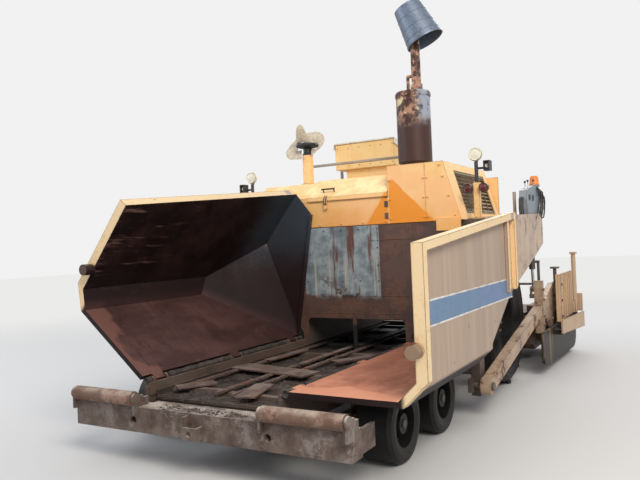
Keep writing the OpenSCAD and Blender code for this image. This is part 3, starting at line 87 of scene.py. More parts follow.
class PaverFinish(bpy.types.PropertyGroup):
    """Colours and wear of the paver's finishes."""
    cream: bpy.props.FloatVectorProperty(
        name="Cream paint", description="Body colour of hood, deck and side panels",
        subtype="COLOR", size=3, min=0, max=1, default=(0.88, 0.52, 0.19))
    blush: bpy.props.FloatVectorProperty(
        name="Faded panel", description="Faded paint of the wings' outer panels",
        subtype="COLOR", size=3, min=0, max=1, default=(0.37, 0.275, 0.205))
    stripe: bpy.props.FloatVectorProperty(
        name="Stripe", description="Colour of the stripe on the wings",
        subtype="COLOR", size=3, min=0, max=1, default=(0.10, 0.20, 0.31))
    rust: bpy.props.FloatVectorProperty(
        name="Rust", description="Dry rust", subtype="COLOR", size=3, min=0, max=1,
        default=(0.20, 0.085, 0.045))
    tar: bpy.props.FloatVectorProperty(
        name="Tar", description="Tar and old asphalt", subtype="COLOR", size=3, min=0, max=1,
        default=(0.045, 0.036, 0.032))
    dust: bpy.props.FloatVectorProperty(
        name="Dust", description="Pale road dust", subtype="COLOR", size=3, min=0, max=1,
        default=(0.42, 0.34, 0.26))
    wear: bpy.props.FloatProperty(
        name="Wear", description="How much paint has come off the edges", min=0, max=2, default=1)


class PaverSizes(bpy.types.PropertyGroup):
    """Sizes of the small parts."""
    stripe_width: bpy.props.FloatProperty(
        name="Stripe width", description="Height of the blue stripe",
        subtype="DISTANCE", unit="LENGTH", min=0.05, max=0.4, default=0.152)
    stripe_low: bpy.props.FloatProperty(
        name="Stripe place", description="Lower edge of the stripe over the wing's hinge",
        subtype="DISTANCE", unit="LENGTH", min=0.2, max=0.9, default=0.480)


class PaverStage(bpy.types.PropertyGroup):
    """Camera and lights."""
    camera_place: bpy.props.FloatVectorProperty(
        name="Camera", description="Place of the camera: X, distance behind the beam, Z",
        subtype="TRANSLATION", size=3, default=(3.16, -3.56, 1.65))
    camera_turn: bpy.props.FloatProperty(
        name="Turn", description="Turn of the view from +Y towards -X", subtype="ANGLE",
        default=math.radians(30.2))
    camera_rise: bpy.props.FloatProperty(
        name="Rise", description="Rise of the view above the horizon", subtype="ANGLE",
        default=math.radians(0.27))
    camera_roll: bpy.props.FloatProperty(
        name="Roll", description="Roll of the camera", subtype="ANGLE", default=0.042)
    focal_pixels: bpy.props.FloatProperty(
        name="Focal length", description="In pixels of a picture 640 wide", min=200, max=2000,
        default=653)
    light: bpy.props.FloatProperty(
        name="Light", description="Strength of all lights", min=0, max=10, default=1.0)


# Middle of the pail's top
PAIL_PLACE = (0.561, at(2.960), 4.1142)


# Node helpers

def put(tree, kind, sockets=None, **settings):
    """A node with its settings and sockets; a socket's value may be another node's output."""
    made = tree.nodes.new(kind)
    for key, value in settings.items():
        setattr(made, key, value)
    for key, value in (sockets or {}).items():
        if isinstance(value, bpy.types.NodeSocket):
            tree.links.new(value, made.inputs[key])
        else:
            made.inputs[key].default_value = value
    return made


def maths(tree, operation, a, b=0.0, clamp=False):
    """One arithmetic node: a and b are numbers or sockets."""
    return put(tree, "ShaderNodeMath", {0: a, 1: b}, operation=operation, use_clamp=clamp).outputs[0]


def plus(tree, a, b):
    """The sum of two numbers or sockets."""
    return maths(tree, "ADD", a, b)


def minus(tree, a, b):
    """Their difference."""
    return maths(tree, "SUBTRACT", a, b)


def times(tree, a, b, clamp=False):
    """Their product."""
    return maths(tree, "MULTIPLY", a, b, clamp)


def all_of(tree, *masks):
    """The product of some masks."""
    total = masks[0]
    for mask in masks[1:]:
        total = times(tree, total, mask)
    return total


def any_of(tree, *masks):
    """The largest of some masks."""
    total = masks[0]
    for mask in masks[1:]:
        total = maths(tree, "MAXIMUM", total, mask)
    return total


def ramp(tree, value, low, high):
    """0 below low, 1 above high, eased between."""
    return put(tree, "ShaderNodeMapRange", {"Value": value, "From Min": low, "From Max": high},
               interpolation_type="SMOOTHSTEP").outputs["Result"]


def mix(tree, mask, a, b):
    """Colour a where the mask is 0 and b where it is 1."""
    made = tree.nodes.new("ShaderNodeMix")
    made.data_type = "RGBA"
    for index, value in ((0, mask), (6, a), (7, b)):
        if isinstance(value, bpy.types.NodeSocket):
            tree.links.new(value, made.inputs[index])
        elif index:
            made.inputs[index].default_value = (*value[:3], 1)
        else:
            made.inputs[index].default_value = value
    return made.outputs[2]


def noise(tree, vector, scale, detail, rough):
    """Fractal noise, 0 to 1."""
    return put(tree, "ShaderNodeTexNoise", {"Vector": vector, "Scale": scale, "Detail": detail,
            "Roughness": rough}).outputs["Fac"]


def stretched(tree, vector, scale, move=(0, 0, 0)):
    """A coordinate scaled along each axis and moved."""
    return put(tree, "ShaderNodeMapping", {"Vector": vector, "Scale": scale,
                                           "Location": move}).outputs["Vector"]


def drawn_out(tree, vector, scale, detail, rough, move=(0, 0, 0)):
    """Noise whose scale differs along X, Y and Z."""
    return noise(tree, stretched(tree, vector, scale, move), 1.0, detail, rough)


def object_place(tree):
    """The object coordinate, and its X, Y and Z."""
    coord = put(tree, "ShaderNodeTexCoord").outputs["Object"]
    return coord, put(tree, "ShaderNodeSeparateXYZ", {0: coord}).outputs


def tint(tree, colour, tone, field, low, high, strength=1.0):
    """A colour that turns to a tone as a field runs from low to high."""
    mask = ramp(tree, field, low, high)
    if strength < 1:
        mask = times(tree, mask, strength)
    return mix(tree, mask, colour, tone)


def dimmed(colour, share):
    """A colour at a share of its brightness."""
    return tuple(c * share for c in colour)


def group(name, inputs, outputs):
    """An empty node group with named sockets: kind is Float or Color."""
    tree = bpy.data.node_groups.new(name, "ShaderNodeTree")
    for label, kind, value in inputs:
        made = tree.interface.new_socket(label, in_out="INPUT", socket_type="NodeSocket" + kind)
        if value is not None:
            made.default_value = value
    for label, kind in outputs:
        tree.interface.new_socket(label, in_out="OUTPUT", socket_type="NodeSocket" + kind)
    return tree, tree.nodes.new("NodeGroupInput").outputs, tree.nodes.new("NodeGroupOutput").inputs


def roughened(tree, shader, height, strength, distance=0.004):
    """Bumps a shader's surface by a height field."""
    lump = put(tree, "ShaderNodeBump", {"Height": height, "Strength": strength, "Distance": distance})
    tree.links.new(lump.outputs[0], shader["Normal"])


def build_edge_group():
    """Edge mask: how far a rounded normal leans away from the true one, broken up by noise."""
    tree, given, out = group("paver_edge", [("Amount", "Float", 1.0)], [("Mask", "Float")])
    bevel = put(tree, "ShaderNodeBevel", {"Radius": 0.012}, samples=4)
    true = put(tree, "ShaderNodeNewGeometry").outputs["True Normal"]
    lean = put(tree, "ShaderNodeVectorMath", {0: bevel.outputs[0], 1: true}, operation="DOT_PRODUCT")
    edge = ramp(tree, lean.outputs["Value"], 0.995, 0.80)
    place = put(tree, "ShaderNodeTexCoord").outputs["Object"]
    broken = noise(tree, place, 9, 6, 0.65)
    lift = times(tree, edge, given["Amount"])
    total = plus(tree, times(tree, lift, 0.55), broken)
    tree.links.new(times(tree, ramp(tree, total, 0.62, 0.80), ramp(tree, lift, 0.02, 0.35)), out["Mask"])
    return tree


def build_weather_group(edge):
    """Weathered paint: faded base, rust at edges and in blotches, run-down streaks, dust on top."""
    tree, given, out = group("paver_weather", [
        ("Base", "Color", None), ("Second", "Color", None), ("Rust", "Color", None),
        ("Dirt", "Color", None), ("Dust", "Color", None),
        ("Rust Amount", "Float", 0.4), ("Streaks", "Float", 0.5), ("Dust Amount", "Float", 0.4),
        ("Edge Amount", "Float", 1.0), ("Grime", "Float", 0.22)],
        [("Color", "Color"), ("Roughness", "Float"), ("Height", "Float"), ("Bare", "Float")])
    coord = put(tree, "ShaderNodeTexCoord")
    place = coord.outputs["Object"]
    # Fading in broad clouds and fine mottling
    cloud = noise(tree, place, 1.6, 5, 0.6)
    mottle = noise(tree, place, 26, 5, 0.7)
    faded = mix(tree, ramp(tree, cloud, 0.35, 0.68), given["Base"], given["Second"])
    # Streaks that run down: noise stretched along Z, its start broken by the clouds
    tall = stretched(tree, place, (13, 13, 0.55))
    run = noise(tree, tall, 1.0, 4, 0.6)
    fine = drawn_out(tree, place, (46, 46, 1.1), 3, 0.6)
    runs = plus(tree, times(tree, run, 0.7), times(tree, fine, 0.3))
    streak = times(tree, ramp(tree, runs, 0.50, 0.70), given["Streaks"], clamp=True)
    # Rust: blotches where two noises agree, plus the edges
    blotch = noise(tree, place, 4.2, 9, 0.72)
    speck = noise(tree, place, 55, 3, 0.6)
    level = minus(tree, 0.80, times(tree, given["Rust Amount"], 0.42))
    rusty = minus(tree, plus(tree, times(tree, blotch, 0.86), times(tree, speck, 0.14)), level)
    patches = ramp(tree, rusty, 0.0, 0.045)
    halo = ramp(tree, rusty, -0.09, 0.02)
    edges = put(tree, "ShaderNodeGroup", node_tree=edge)
    tree.links.new(given["Edge Amount"], edges.inputs["Amount"])
    bare = any_of(tree, patches, edges.outputs["Mask"])
    rust_tone = mix(tree, noise(tree, place, 17, 6, 0.7), given["Rust"], given["Dirt"])
    colour = mix(tree, times(tree, streak, 0.62), faded, given["Rust"])
    colour = mix(tree, times(tree, halo, 0.45), colour, given["Rust"])
    colour = mix(tree, bare, colour, rust_tone)
    colour = mix(tree, times(tree, ramp(tree, mottle, 0.42, 0.72), given["Grime"]), colour, given["Dirt"])
    # Dust lies on what faces up, and thins out on the rest
    up = put(tree, "ShaderNodeSeparateXYZ", {0: coord.outputs["Normal"]}).outputs["Z"]
    lying = plus(tree, ramp(tree, up, 0.25, 0.95), 0.22)
    dusty = times(tree, times(tree, lying, given["Dust Amount"]),
                  ramp(tree, noise(tree, place, 7.5, 7, 0.68), 0.30, 0.75), clamp=True)
    colour = mix(tree, dusty, colour, given["Dust"])
    tree.links.new(colour, out["Color"])
    rough = plus(tree, 0.52, times(tree, any_of(tree, bare, dusty), 0.36))
    tree.links.new(minus(tree, rough, times(tree, mottle, 0.08)), out["Roughness"])
    height = plus(tree, times(tree, bare, -0.35), times(tree, mottle, 0.25))
    height = plus(tree, height, times(tree, times(tree, speck, bare), 0.5))
    tree.links.new(height, out["Height"])
    tree.links.new(bare, out["Bare"])
    return tree


def build_wing_group():
    """Place in a wing's own frame: u outwards from the hinge, v up from it, and how far the
    surface faces outwards. Side is 1 on the left, -1 on the right; Raise is its angle."""
    tree, given, out = group("paver_wing_place", [("Side", "Float", 1.0), ("Raise", "Float", 0.0)], [
        ("U", "Float"), ("V", "Float"), ("Y", "Float"), ("Z", "Float"), ("Facing", "Float"), ("Up", "Float"),
        ("Front", "Float")])
    coord = put(tree, "ShaderNodeTexCoord")
    spot = put(tree, "ShaderNodeSeparateXYZ", {0: coord.outputs["Object"]}).outputs
    face = put(tree, "ShaderNodeSeparateXYZ", {0: coord.outputs["Normal"]}).outputs
    cos = maths(tree, "COSINE", given["Raise"])
    sin = maths(tree, "SINE", given["Raise"])

    def turned(x, z):
        """(x, z) turned back by the angle at which the wing stands."""
        outward = plus(tree, times(tree, x, cos), times(tree, z, sin))
        upward = minus(tree, times(tree, z, cos), times(tree, x, sin))
        return outward, upward

    reach = minus(tree, times(tree, spot["X"], given["Side"]), HINGE_X)
    u, v = turned(reach, minus(tree, spot["Z"], HINGE_Z))
    facing, up = turned(times(tree, face["X"], given["Side"]), face["Z"])
    ahead = times(tree, face["Y"], -1.0)
    for label, value in (("U", u), ("V", v), ("Y", spot["Y"]), ("Z", spot["Z"]), ("Facing", facing),
                         ("Up", up), ("Front", ahead)):
        tree.links.new(value, out[label])
    return tree


def fresh(name):
    """An empty material with its output and Principled shader."""
    made = bpy.data.materials.new(name)
    made.use_nodes = True
    tree = made.node_tree
    tree.nodes.clear()
    shader = tree.nodes.new("ShaderNodeBsdfPrincipled")
    output = tree.nodes.new("ShaderNodeOutputMaterial")
    tree.links.new(shader.outputs[0], output.inputs[0])
    return made, tree, shader.inputs


def weathered(name, groups, base, second, rust=None, dirt=None, dust=None, rust_amount=0.4,
              streaks=0.5, dust_amount=0.4, edge=1.0, grime=0.22, bump=0.4, gloss=0.5, finish=None):
    """A material round the weather group; finish(tree, colour, group node) may repaint it."""
    look = bpy.context.scene.paver_finish
    made, tree, shader = fresh(name)
    node = put(tree, "ShaderNodeGroup", node_tree=groups["weather"])
    values = {"Base": base, "Second": second, "Rust": rust or look.rust, "Dirt": dirt or look.tar,
              "Dust": dust or look.dust}
    for key, value in values.items():
        node.inputs[key].default_value = (*value, 1)
    for key, value in (("Rust Amount", rust_amount), ("Streaks", streaks),
                       ("Dust Amount", dust_amount), ("Edge Amount", edge * look.wear),
                       ("Grime", grime)):
        node.inputs[key].default_value = value
    colour = node.outputs["Color"]
    if finish:
        colour = finish(tree, colour, node)
    tree.links.new(colour, shader["Base Color"])
    tree.links.new(node.outputs["Roughness"], shader["Roughness"])
    shader["Specular IOR Level"].default_value = gloss
    roughened(tree, shader, node.outputs["Height"], bump)
    return made


def is_near(tree, value, centre, half):
    """1 where a value lies within half of a centre, with a short soft edge."""
    gap = maths(tree, "ABSOLUTE", minus(tree, value, centre))
    return ramp(tree, gap, half + 0.006, half - 0.006)


def wing_paint_and_shade(groups, side, raised, floor):
    """Repaints a wing: faded panel outside, pale rails, dark rusty inside, worn lower edges."""
    def repaint(tree, colour, node):
        look = bpy.context.scene.paver_finish
        here = put(tree, "ShaderNodeGroup", node_tree=groups["wing"])
        here.inputs["Side"].default_value = side
        here.inputs["Raise"].default_value = raised
        u, v, y = (here.outputs[k] for k in ("U", "V", "Y"))
        coord = put(tree, "ShaderNodeTexCoord").outputs["Object"]
        outside = ramp(tree, u, 0.982, 0.988)
        post = all_of(tree, outside, ramp(tree, y, at(2.425), at(2.435)))
        # A grey upright strip on the outer panel, just in front of the rear post
        grey_strip = all_of(tree, outside, ramp(tree, y, at(2.33), at(2.34)))
        rail = ramp(tree, u, 1.030, 1.036)
        front = all_of(tree, ramp(tree, y, at(0.245), at(0.235)),
                       any_of(tree, ramp(tree, here.outputs["Front"], 0.6, 0.7),
                              ramp(tree, here.outputs["Facing"], 0.2, 0.4)))
        top = all_of(tree, ramp(tree, here.outputs["Up"], 0.5, 0.7), ramp(tree, v, 0.5, 0.7))
        cream = (0.74, 0.56, 0.33)
        worn = node.outputs["Bare"]
        # Inside: nearly black walls, a floor of bare rust, redder and brighter at its front edge
        mottle = noise(tree, coord, 3.1, 8, 0.7)
        soft = drawn_out(tree, coord, (5, 1.6, 5), 6, 0.62)
        walls = mix(tree, ramp(tree, mottle, 0.38, 0.68), (0.010, 0.005, 0.005), (0.036, 0.017, 0.016))
        scuffs = drawn_out(tree, coord, (34, 2.2, 14), 5, 0.65)
        walls = mix(tree, all_of(tree, ramp(tree, scuffs, 0.56, 0.66), ramp(tree, y, at(1.3), at(0.3))),
                    walls, (0.15, 0.08, 0.065))
        # Lower walls turn from brown to the floor's colour, the rear plate turns bluish towards its top
        low_wall = ramp(tree, plus(tree, v, times(tree, soft, 0.4)), 0.62, 0.22)
        walls = mix(tree, low_wall, walls, (0.017, 0.0095, 0.0095))
        wander = plus(tree, here.outputs["Z"], times(tree, mottle, 0.5))
        rear = ramp(tree, plus(tree, y, times(tree, soft, 0.3)), at(2.0), at(2.5))
        shade = mix(tree, ramp(tree, wander, 1.45, 2.15), (0.022, 0.011, 0.011), (0.044, 0.052, 0.062))
        walls = mix(tree, rear, walls, shade)
        flecks = drawn_out(tree, coord, (40, 40, 26), 6, 0.75)
        walls = mix(tree, all_of(tree, rear, ramp(tree, flecks, 0.58, 0.68), ramp(tree, u, 0.74, 0.90)),
                    walls, (0.13, 0.085, 0.055))
        # The floor's tones come per wing: on the raised wing they are painted shade
        dark, light, edge_tone = floor
        bed = mix(tree, ramp(tree, soft, 0.34, 0.68), dark, light)
        own = put(tree, "ShaderNodeCombineXYZ",
                  {0: times(tree, u, 2.2), 1: times(tree, y, 38.0)}).outputs[0]
        grain = noise(tree, own, 1.0, 5, 0.65)
        bed = tint(tree, bed, dimmed(dark, 0.62), grain, 0.42, 0.72, 0.45)
        bed = tint(tree, bed, dimmed(dark, 0.45), mottle, 0.52, 0.66, 0.5)
        ragged = plus(tree, y, times(tree, noise(tree, coord, 2.3, 3, 0.5), 0.9))
        bed = tint(tree, bed, edge_tone, ragged, at(0.80), at(0.74), 0.85)
        rubbed = drawn_out(tree, coord, (11, 4, 11), 7, 0.7)
        bed = tint(tree, bed, tuple(min(1.0, c * 1.7 + 0.03) for c in light), rubbed, 0.60, 0.72, 0.35)
        bed = tint(tree, bed, dimmed(dark, 0.5), y, at(1.2), at(2.4), 0.55)
        low = all_of(tree, ramp(tree, v, 0.10, 0.03), ramp(tree, here.outputs["Up"], 0.6, 0.9))
        inside = mix(tree, low, walls, bed)
        streak = drawn_out(tree, coord, (16, 16, 0.5), 5, 0.6)
        inside = tint(tree, inside, (0.16, 0.115, 0.10), streak, 0.64, 0.80, 0.14)
        # Outside: streaked panel inside the pale frame
        tall = drawn_out(tree, coord, (9, 9, 0.28), 6, 0.62)
        panel = mix(tree, ramp(tree, tall, 0.36, 0.66), look.blush, (0.42, 0.315, 0.235))
        grey = drawn_out(tree, coord, (30, 30, 0.5), 4, 0.6)
        panel = tint(tree, panel, (0.25, 0.21, 0.185), grey, 0.5, 0.72, 0.6)
        framed = any_of(tree, rail, front, top)
        pale = mix(tree, framed, panel, cream)
        pale = mix(tree, grey_strip, pale, (0.36, 0.33, 0.30))
        pale = mix(tree, post, pale, (0.86, 0.56, 0.28))
        chips = noise(tree, coord, 14, 8, 0.75)
        pale = mix(tree, all_of(tree, ramp(tree, chips, 0.52, 0.66), framed, 0.55), pale,
                   (0.62, 0.34, 0.14))
        pale = mix(tree, worn, pale, colour)
        # Front edge: lit brown on the lowered wing, the same brown painted in shade on the raised wing
        nose = ramp(tree, y, at(0.154), at(0.150))
        pale = mix(tree, nose, pale, (0.24, 0.165, 0.11) if side > 0 else (0.085, 0.058, 0.046))
        painted = any_of(tree, outside, all_of(tree, front, ramp(tree, u, 0.86, 0.90)), top)
        return mix(tree, painted, inside, pale)
    return repaint


def wall_sheet_and_tunnel_shade(tree, colour, node):
    """Back wall: a galvanised sheet riveted on, with rust drips, and welded seams."""
    coord, spot = object_place(tree)
    blot = noise(tree, coord, 4, 8, 0.7)
    foot = plus(tree, spot["Z"], times(tree, blot, 0.25))
    patch = all_of(tree, is_near(tree, spot["X"], -0.13, 0.45), ramp(tree, foot, 1.17, 1.24))
    sheet = mix(tree, ramp(tree, noise(tree, coord, 6, 6, 0.65), 0.35, 0.65), (0.145, 0.180, 0.195),
                (0.34, 0.385, 0.40))
    drip = drawn_out(tree, coord, (15, 15, 0.45), 6, 0.68)
    band = all_of(tree, ramp(tree, foot, 1.74, 1.50), ramp(tree, drip, 0.50, 0.60))
    sheet = mix(tree, band, sheet, (0.46, 0.43, 0.36))
    rusty = drawn_out(tree, coord, (9, 9, 0.9), 7, 0.7, (2, 1, 4))
    sheet = tint(tree, sheet, (0.13, 0.058, 0.038), rusty, 0.53, 0.62)
    sheet = mix(tree, all_of(tree, ramp(tree, blot, 0.52, 0.62), ramp(tree, foot, 1.55, 1.35)), sheet,
                (0.07, 0.038, 0.03))
    colour = mix(tree, patch, colour, sheet)
    # Painted shade: the faces inside the tunnel openings and the divider between them turn nearly black
    post = all_of(tree, is_near(tree, spot["X"], 0.0, 0.06), ramp(tree, spot["Z"], 0.80, 0.76))
    inner = all_of(tree, ramp(tree, spot["Y"], at(2.53), at(2.56)), ramp(tree, spot["Z"], 0.90, 0.85))
    return mix(tree, any_of(tree, post, inner), colour, (0.010, 0.008, 0.008))


def gate_finish(tree, colour, node):
    """End gates: dark runner with ochre drips, cream ribbed wall and rubbing plate."""
    coord, spot = object_place(tree)
    drip = drawn_out(tree, coord, (9, 9, 0.5), 5, 0.65)
    ochre = all_of(tree, ramp(tree, drip, 0.52, 0.64), ramp(tree, spot["Y"], at(5.1), at(4.2)))
    colour = mix(tree, times(tree, ochre, 0.7), colour, (0.30, 0.20, 0.09))
    plate = all_of(tree, ramp(tree, maths(tree, "ABSOLUTE", spot["X"]), 1.68, 1.686),
                   ramp(tree, spot["Z"], 0.32, 0.33))
    high = any_of(tree, ramp(tree, spot["Z"], 0.527, 0.535), plate)
    run = drawn_out(tree, coord, (22, 22, 0.6), 5, 0.65)
    cream = mix(tree, ramp(tree, run, 0.38, 0.66), (0.62, 0.42, 0.24), (0.40, 0.29, 0.22))
    cream = mix(tree, node.outputs["Bare"], cream, (0.10, 0.065, 0.048))
    return mix(tree, high, colour, cream)


def conveyor_wear_and_tunnel_shade(tree, colour, node):
    """Conveyor steel: pale rubbed plates, brown stains, and tar-black inside the tunnels."""
    coord = put(tree, "ShaderNodeTexCoord")
    spot = put(tree, "ShaderNodeSeparateXYZ", {0: coord.outputs["Object"]}).outputs
    up = put(tree, "ShaderNodeSeparateXYZ", {0: coord.outputs["Normal"]}).outputs["Z"]
    plate = noise(tree, coord.outputs["Object"], 2.6, 3, 0.5)
    rubbed = drawn_out(tree, coord.outputs["Object"], (9, 14, 9), 7, 0.7)
    pale = all_of(tree, ramp(tree, up, 0.6, 0.9), ramp(tree, spot["Z"], 0.545, 0.56),
                  ramp(tree, plus(tree, plate, times(tree, rubbed, 0.5)), 0.68, 0.84))
    colour = mix(tree, times(tree, pale, 0.8), colour, (0.30, 0.235, 0.19))
    stain = noise(tree, coord.outputs["Object"], 5.5, 5, 0.6)
    colour = mix(tree, all_of(tree, ramp(tree, stain, 0.56, 0.66), ramp(tree, spot["Z"], 0.535, 0.55)),
                 colour, (0.20, 0.085, 0.050))
    # Painted shade: nearly black from just before the back wall rearwards, inside the tunnels
    return tint(tree, colour, (0.006, 0.005, 0.005), spot["Y"], at(2.30), at(2.75))


def intake_finish(tree, colour, node):
    """Air intake: cream post under a black rubber collar and pre-cleaner."""
    z = object_place(tree)[1]["Z"]
    return tint(tree, colour, (0.012, 0.012, 0.013), z, 2.652, 2.656)


def lamp_finish(tree, colour, node):
    """Lamps and their posts: pale work lamp on top, dark bracket and marker lamps under it."""
    z = object_place(tree)[1]["Z"]
    dark = all_of(tree, ramp(tree, z, 2.374, 2.370), ramp(tree, z, 2.05, 2.06))
    return mix(tree, dark, colour, (0.030, 0.026, 0.026))


def post_finish(tree, colour, node):
    """Lamp posts: cream up to the dark bracket that holds the lamps."""
    z = object_place(tree)[1]["Z"]
    return tint(tree, colour, (0.030, 0.026, 0.026), z, 2.168, 2.172)


def muffler_finish(tree, colour, node):
    """Muffler: burnt rust below, peeled orange, yellow and blue-grey paint round the top."""
    coord, spot = object_place(tree)
    high = ramp(tree, spot["Z"], 2.80, 2.98)
    burnt = mix(tree, drawn_out(tree, coord, (9, 9, 2), 6, 0.65), (0.030, 0.014, 0.012),
                (0.095, 0.046, 0.036))
    colour = mix(tree, 0.8, colour, burnt)
    flake = noise(tree, coord, 9, 9, 0.75)
    orange = mix(tree, noise(tree, coord, 40, 4, 0.6), (0.34, 0.145, 0.085), (0.50, 0.31, 0.21))
    colour = mix(tree, all_of(tree, high, ramp(tree, flake, 0.47, 0.56)), colour, orange)
    peel = drawn_out(tree, coord, (7, 7, 4), 7, 0.7, (3, 1, 2))
    colour = mix(tree, all_of(tree, high, ramp(tree, peel, 0.58, 0.62)), colour, (0.70, 0.60, 0.36))
    side = ramp(tree, spot["X"], 0.66, 0.75)
    return mix(tree, all_of(tree, high, side, ramp(tree, flake, 0.40, 0.50)), colour,
               (0.30, 0.34, 0.40))


def hood_paint_and_sunlit_patches(tree, colour, node):
    """Hood: paint that stayed orange low on the front, above all in two slanting patches."""
    coord, spot = object_place(tree)
    facing = put(tree, "ShaderNodeSeparateXYZ", {0: put(tree, "ShaderNodeTexCoord").outputs["Normal"]})
    front = ramp(tree, facing.outputs["Y"], -0.5, -0.8)
    cloud = drawn_out(tree, coord, (2.2, 2.2, 1.2), 5, 0.6)
    low = ramp(tree, plus(tree, spot["Z"], times(tree, cloud, -0.2)), 2.08, 1.80)
    colour = mix(tree, all_of(tree, front, low, ramp(tree, cloud, 0.25, 0.6)), colour, (0.86, 0.40, 0.10))
    blush = drawn_out(tree, coord, (1.4, 1.4, 2.4), 4, 0.6, (5, 0, 3))
    colour = mix(tree, times(tree, all_of(tree, front, ramp(tree, blush, 0.42, 0.62)), 0.55), colour,
                 (0.93, 0.47, 0.22))
    wobble = times(tree, noise(tree, coord, 9, 5, 0.6), 0.05)

    def patch(apex_x, apex_z, foot_x, lean):
        """A triangle under an apex: bounded by an upright side and by a slanting one."""
        across = minus(tree, spot["X"], apex_x)
        down = minus(tree, apex_z, plus(tree, spot["Z"], wobble))
        way = 1 if lean > 0 else -1
        slant = ramp(tree, minus(tree, times(tree, down, lean), across), -0.012 * way, 0.012 * way)
        side = ramp(tree, minus(tree, spot["X"], foot_x), -0.01 * way, 0.01 * way)
        return all_of(tree, front, slant, side, ramp(tree, down, -0.01, 0.01),
                      ramp(tree, spot["Z"], 1.815, 1.825))

    over = minus(tree, spot["Z"], times(tree, spot["Y"], LID_RISE))
    grip = all_of(tree, is_near(tree, spot["X"], -0.265, 0.10), ramp(tree, spot["Z"], 2.33, 2.32),
                  ramp(tree, over, LID_FOOT + 0.022, LID_FOOT + 0.030))
    colour = mix(tree, grip, colour, (0.045, 0.036, 0.030))
    # Painted sunlight: two slanting orange triangles on the hood's front faces
    for mask in (patch(0.50, 2.28, 0.45, 0.98), patch(0.43, 2.19, 0.43, -0.72)):
        colour = mix(tree, times(tree, mask, 0.9), colour, (0.85, 0.27, 0.006))
    return colour


def simple(name, colour, second, rough, scale=8.0, bump=0.25, metallic=0.0):
    """A material with two mixed tones, mottled roughness and a fine bump."""
    made, tree, shader = fresh(name)
    coord = put(tree, "ShaderNodeTexCoord").outputs["Object"]
    cloud = noise(tree, coord, scale, 7, 0.65)
    fine = noise(tree, coord, scale * 9, 4, 0.6)
    tree.links.new(mix(tree, ramp(tree, cloud, 0.35, 0.65), colour, second), shader["Base Color"])
    tree.links.new(plus(tree, rough - 0.1, times(tree, fine, 0.2)), shader["Roughness"])
    shader["Metallic"].default_value = metallic
    roughened(tree, shader, plus(tree, fine, cloud), bump, 0.003)
    return made


def zinc(name):
    """Galvanised sheet: pale spangle with dull runs."""
    made, tree, shader = fresh(name)
    coord = put(tree, "ShaderNodeTexCoord").outputs["Object"]
    cell = put(tree, "ShaderNodeTexVoronoi", {"Vector": coord, "Scale": 90}).outputs["Color"]
    tone = put(tree, "ShaderNodeSeparateColor", {0: cell}).outputs[0]
    colour = mix(tree, tone, (0.11, 0.14, 0.19), (0.18, 0.22, 0.285))
    stain = drawn_out(tree, coord, (8, 8, 2.2), 7, 0.7)
    colour = tint(tree, colour, (0.13, 0.115, 0.11), stain, 0.52, 0.72, 0.6)
    tree.links.new(colour, shader["Base Color"])
    tree.links.new(plus(tree, 0.36, times(tree, tone, 0.22)), shader["Roughness"])
    shader["Metallic"].default_value = 0.55
    roughened(tree, shader, stain, 0.3)
    return made


MATERIALS = {}


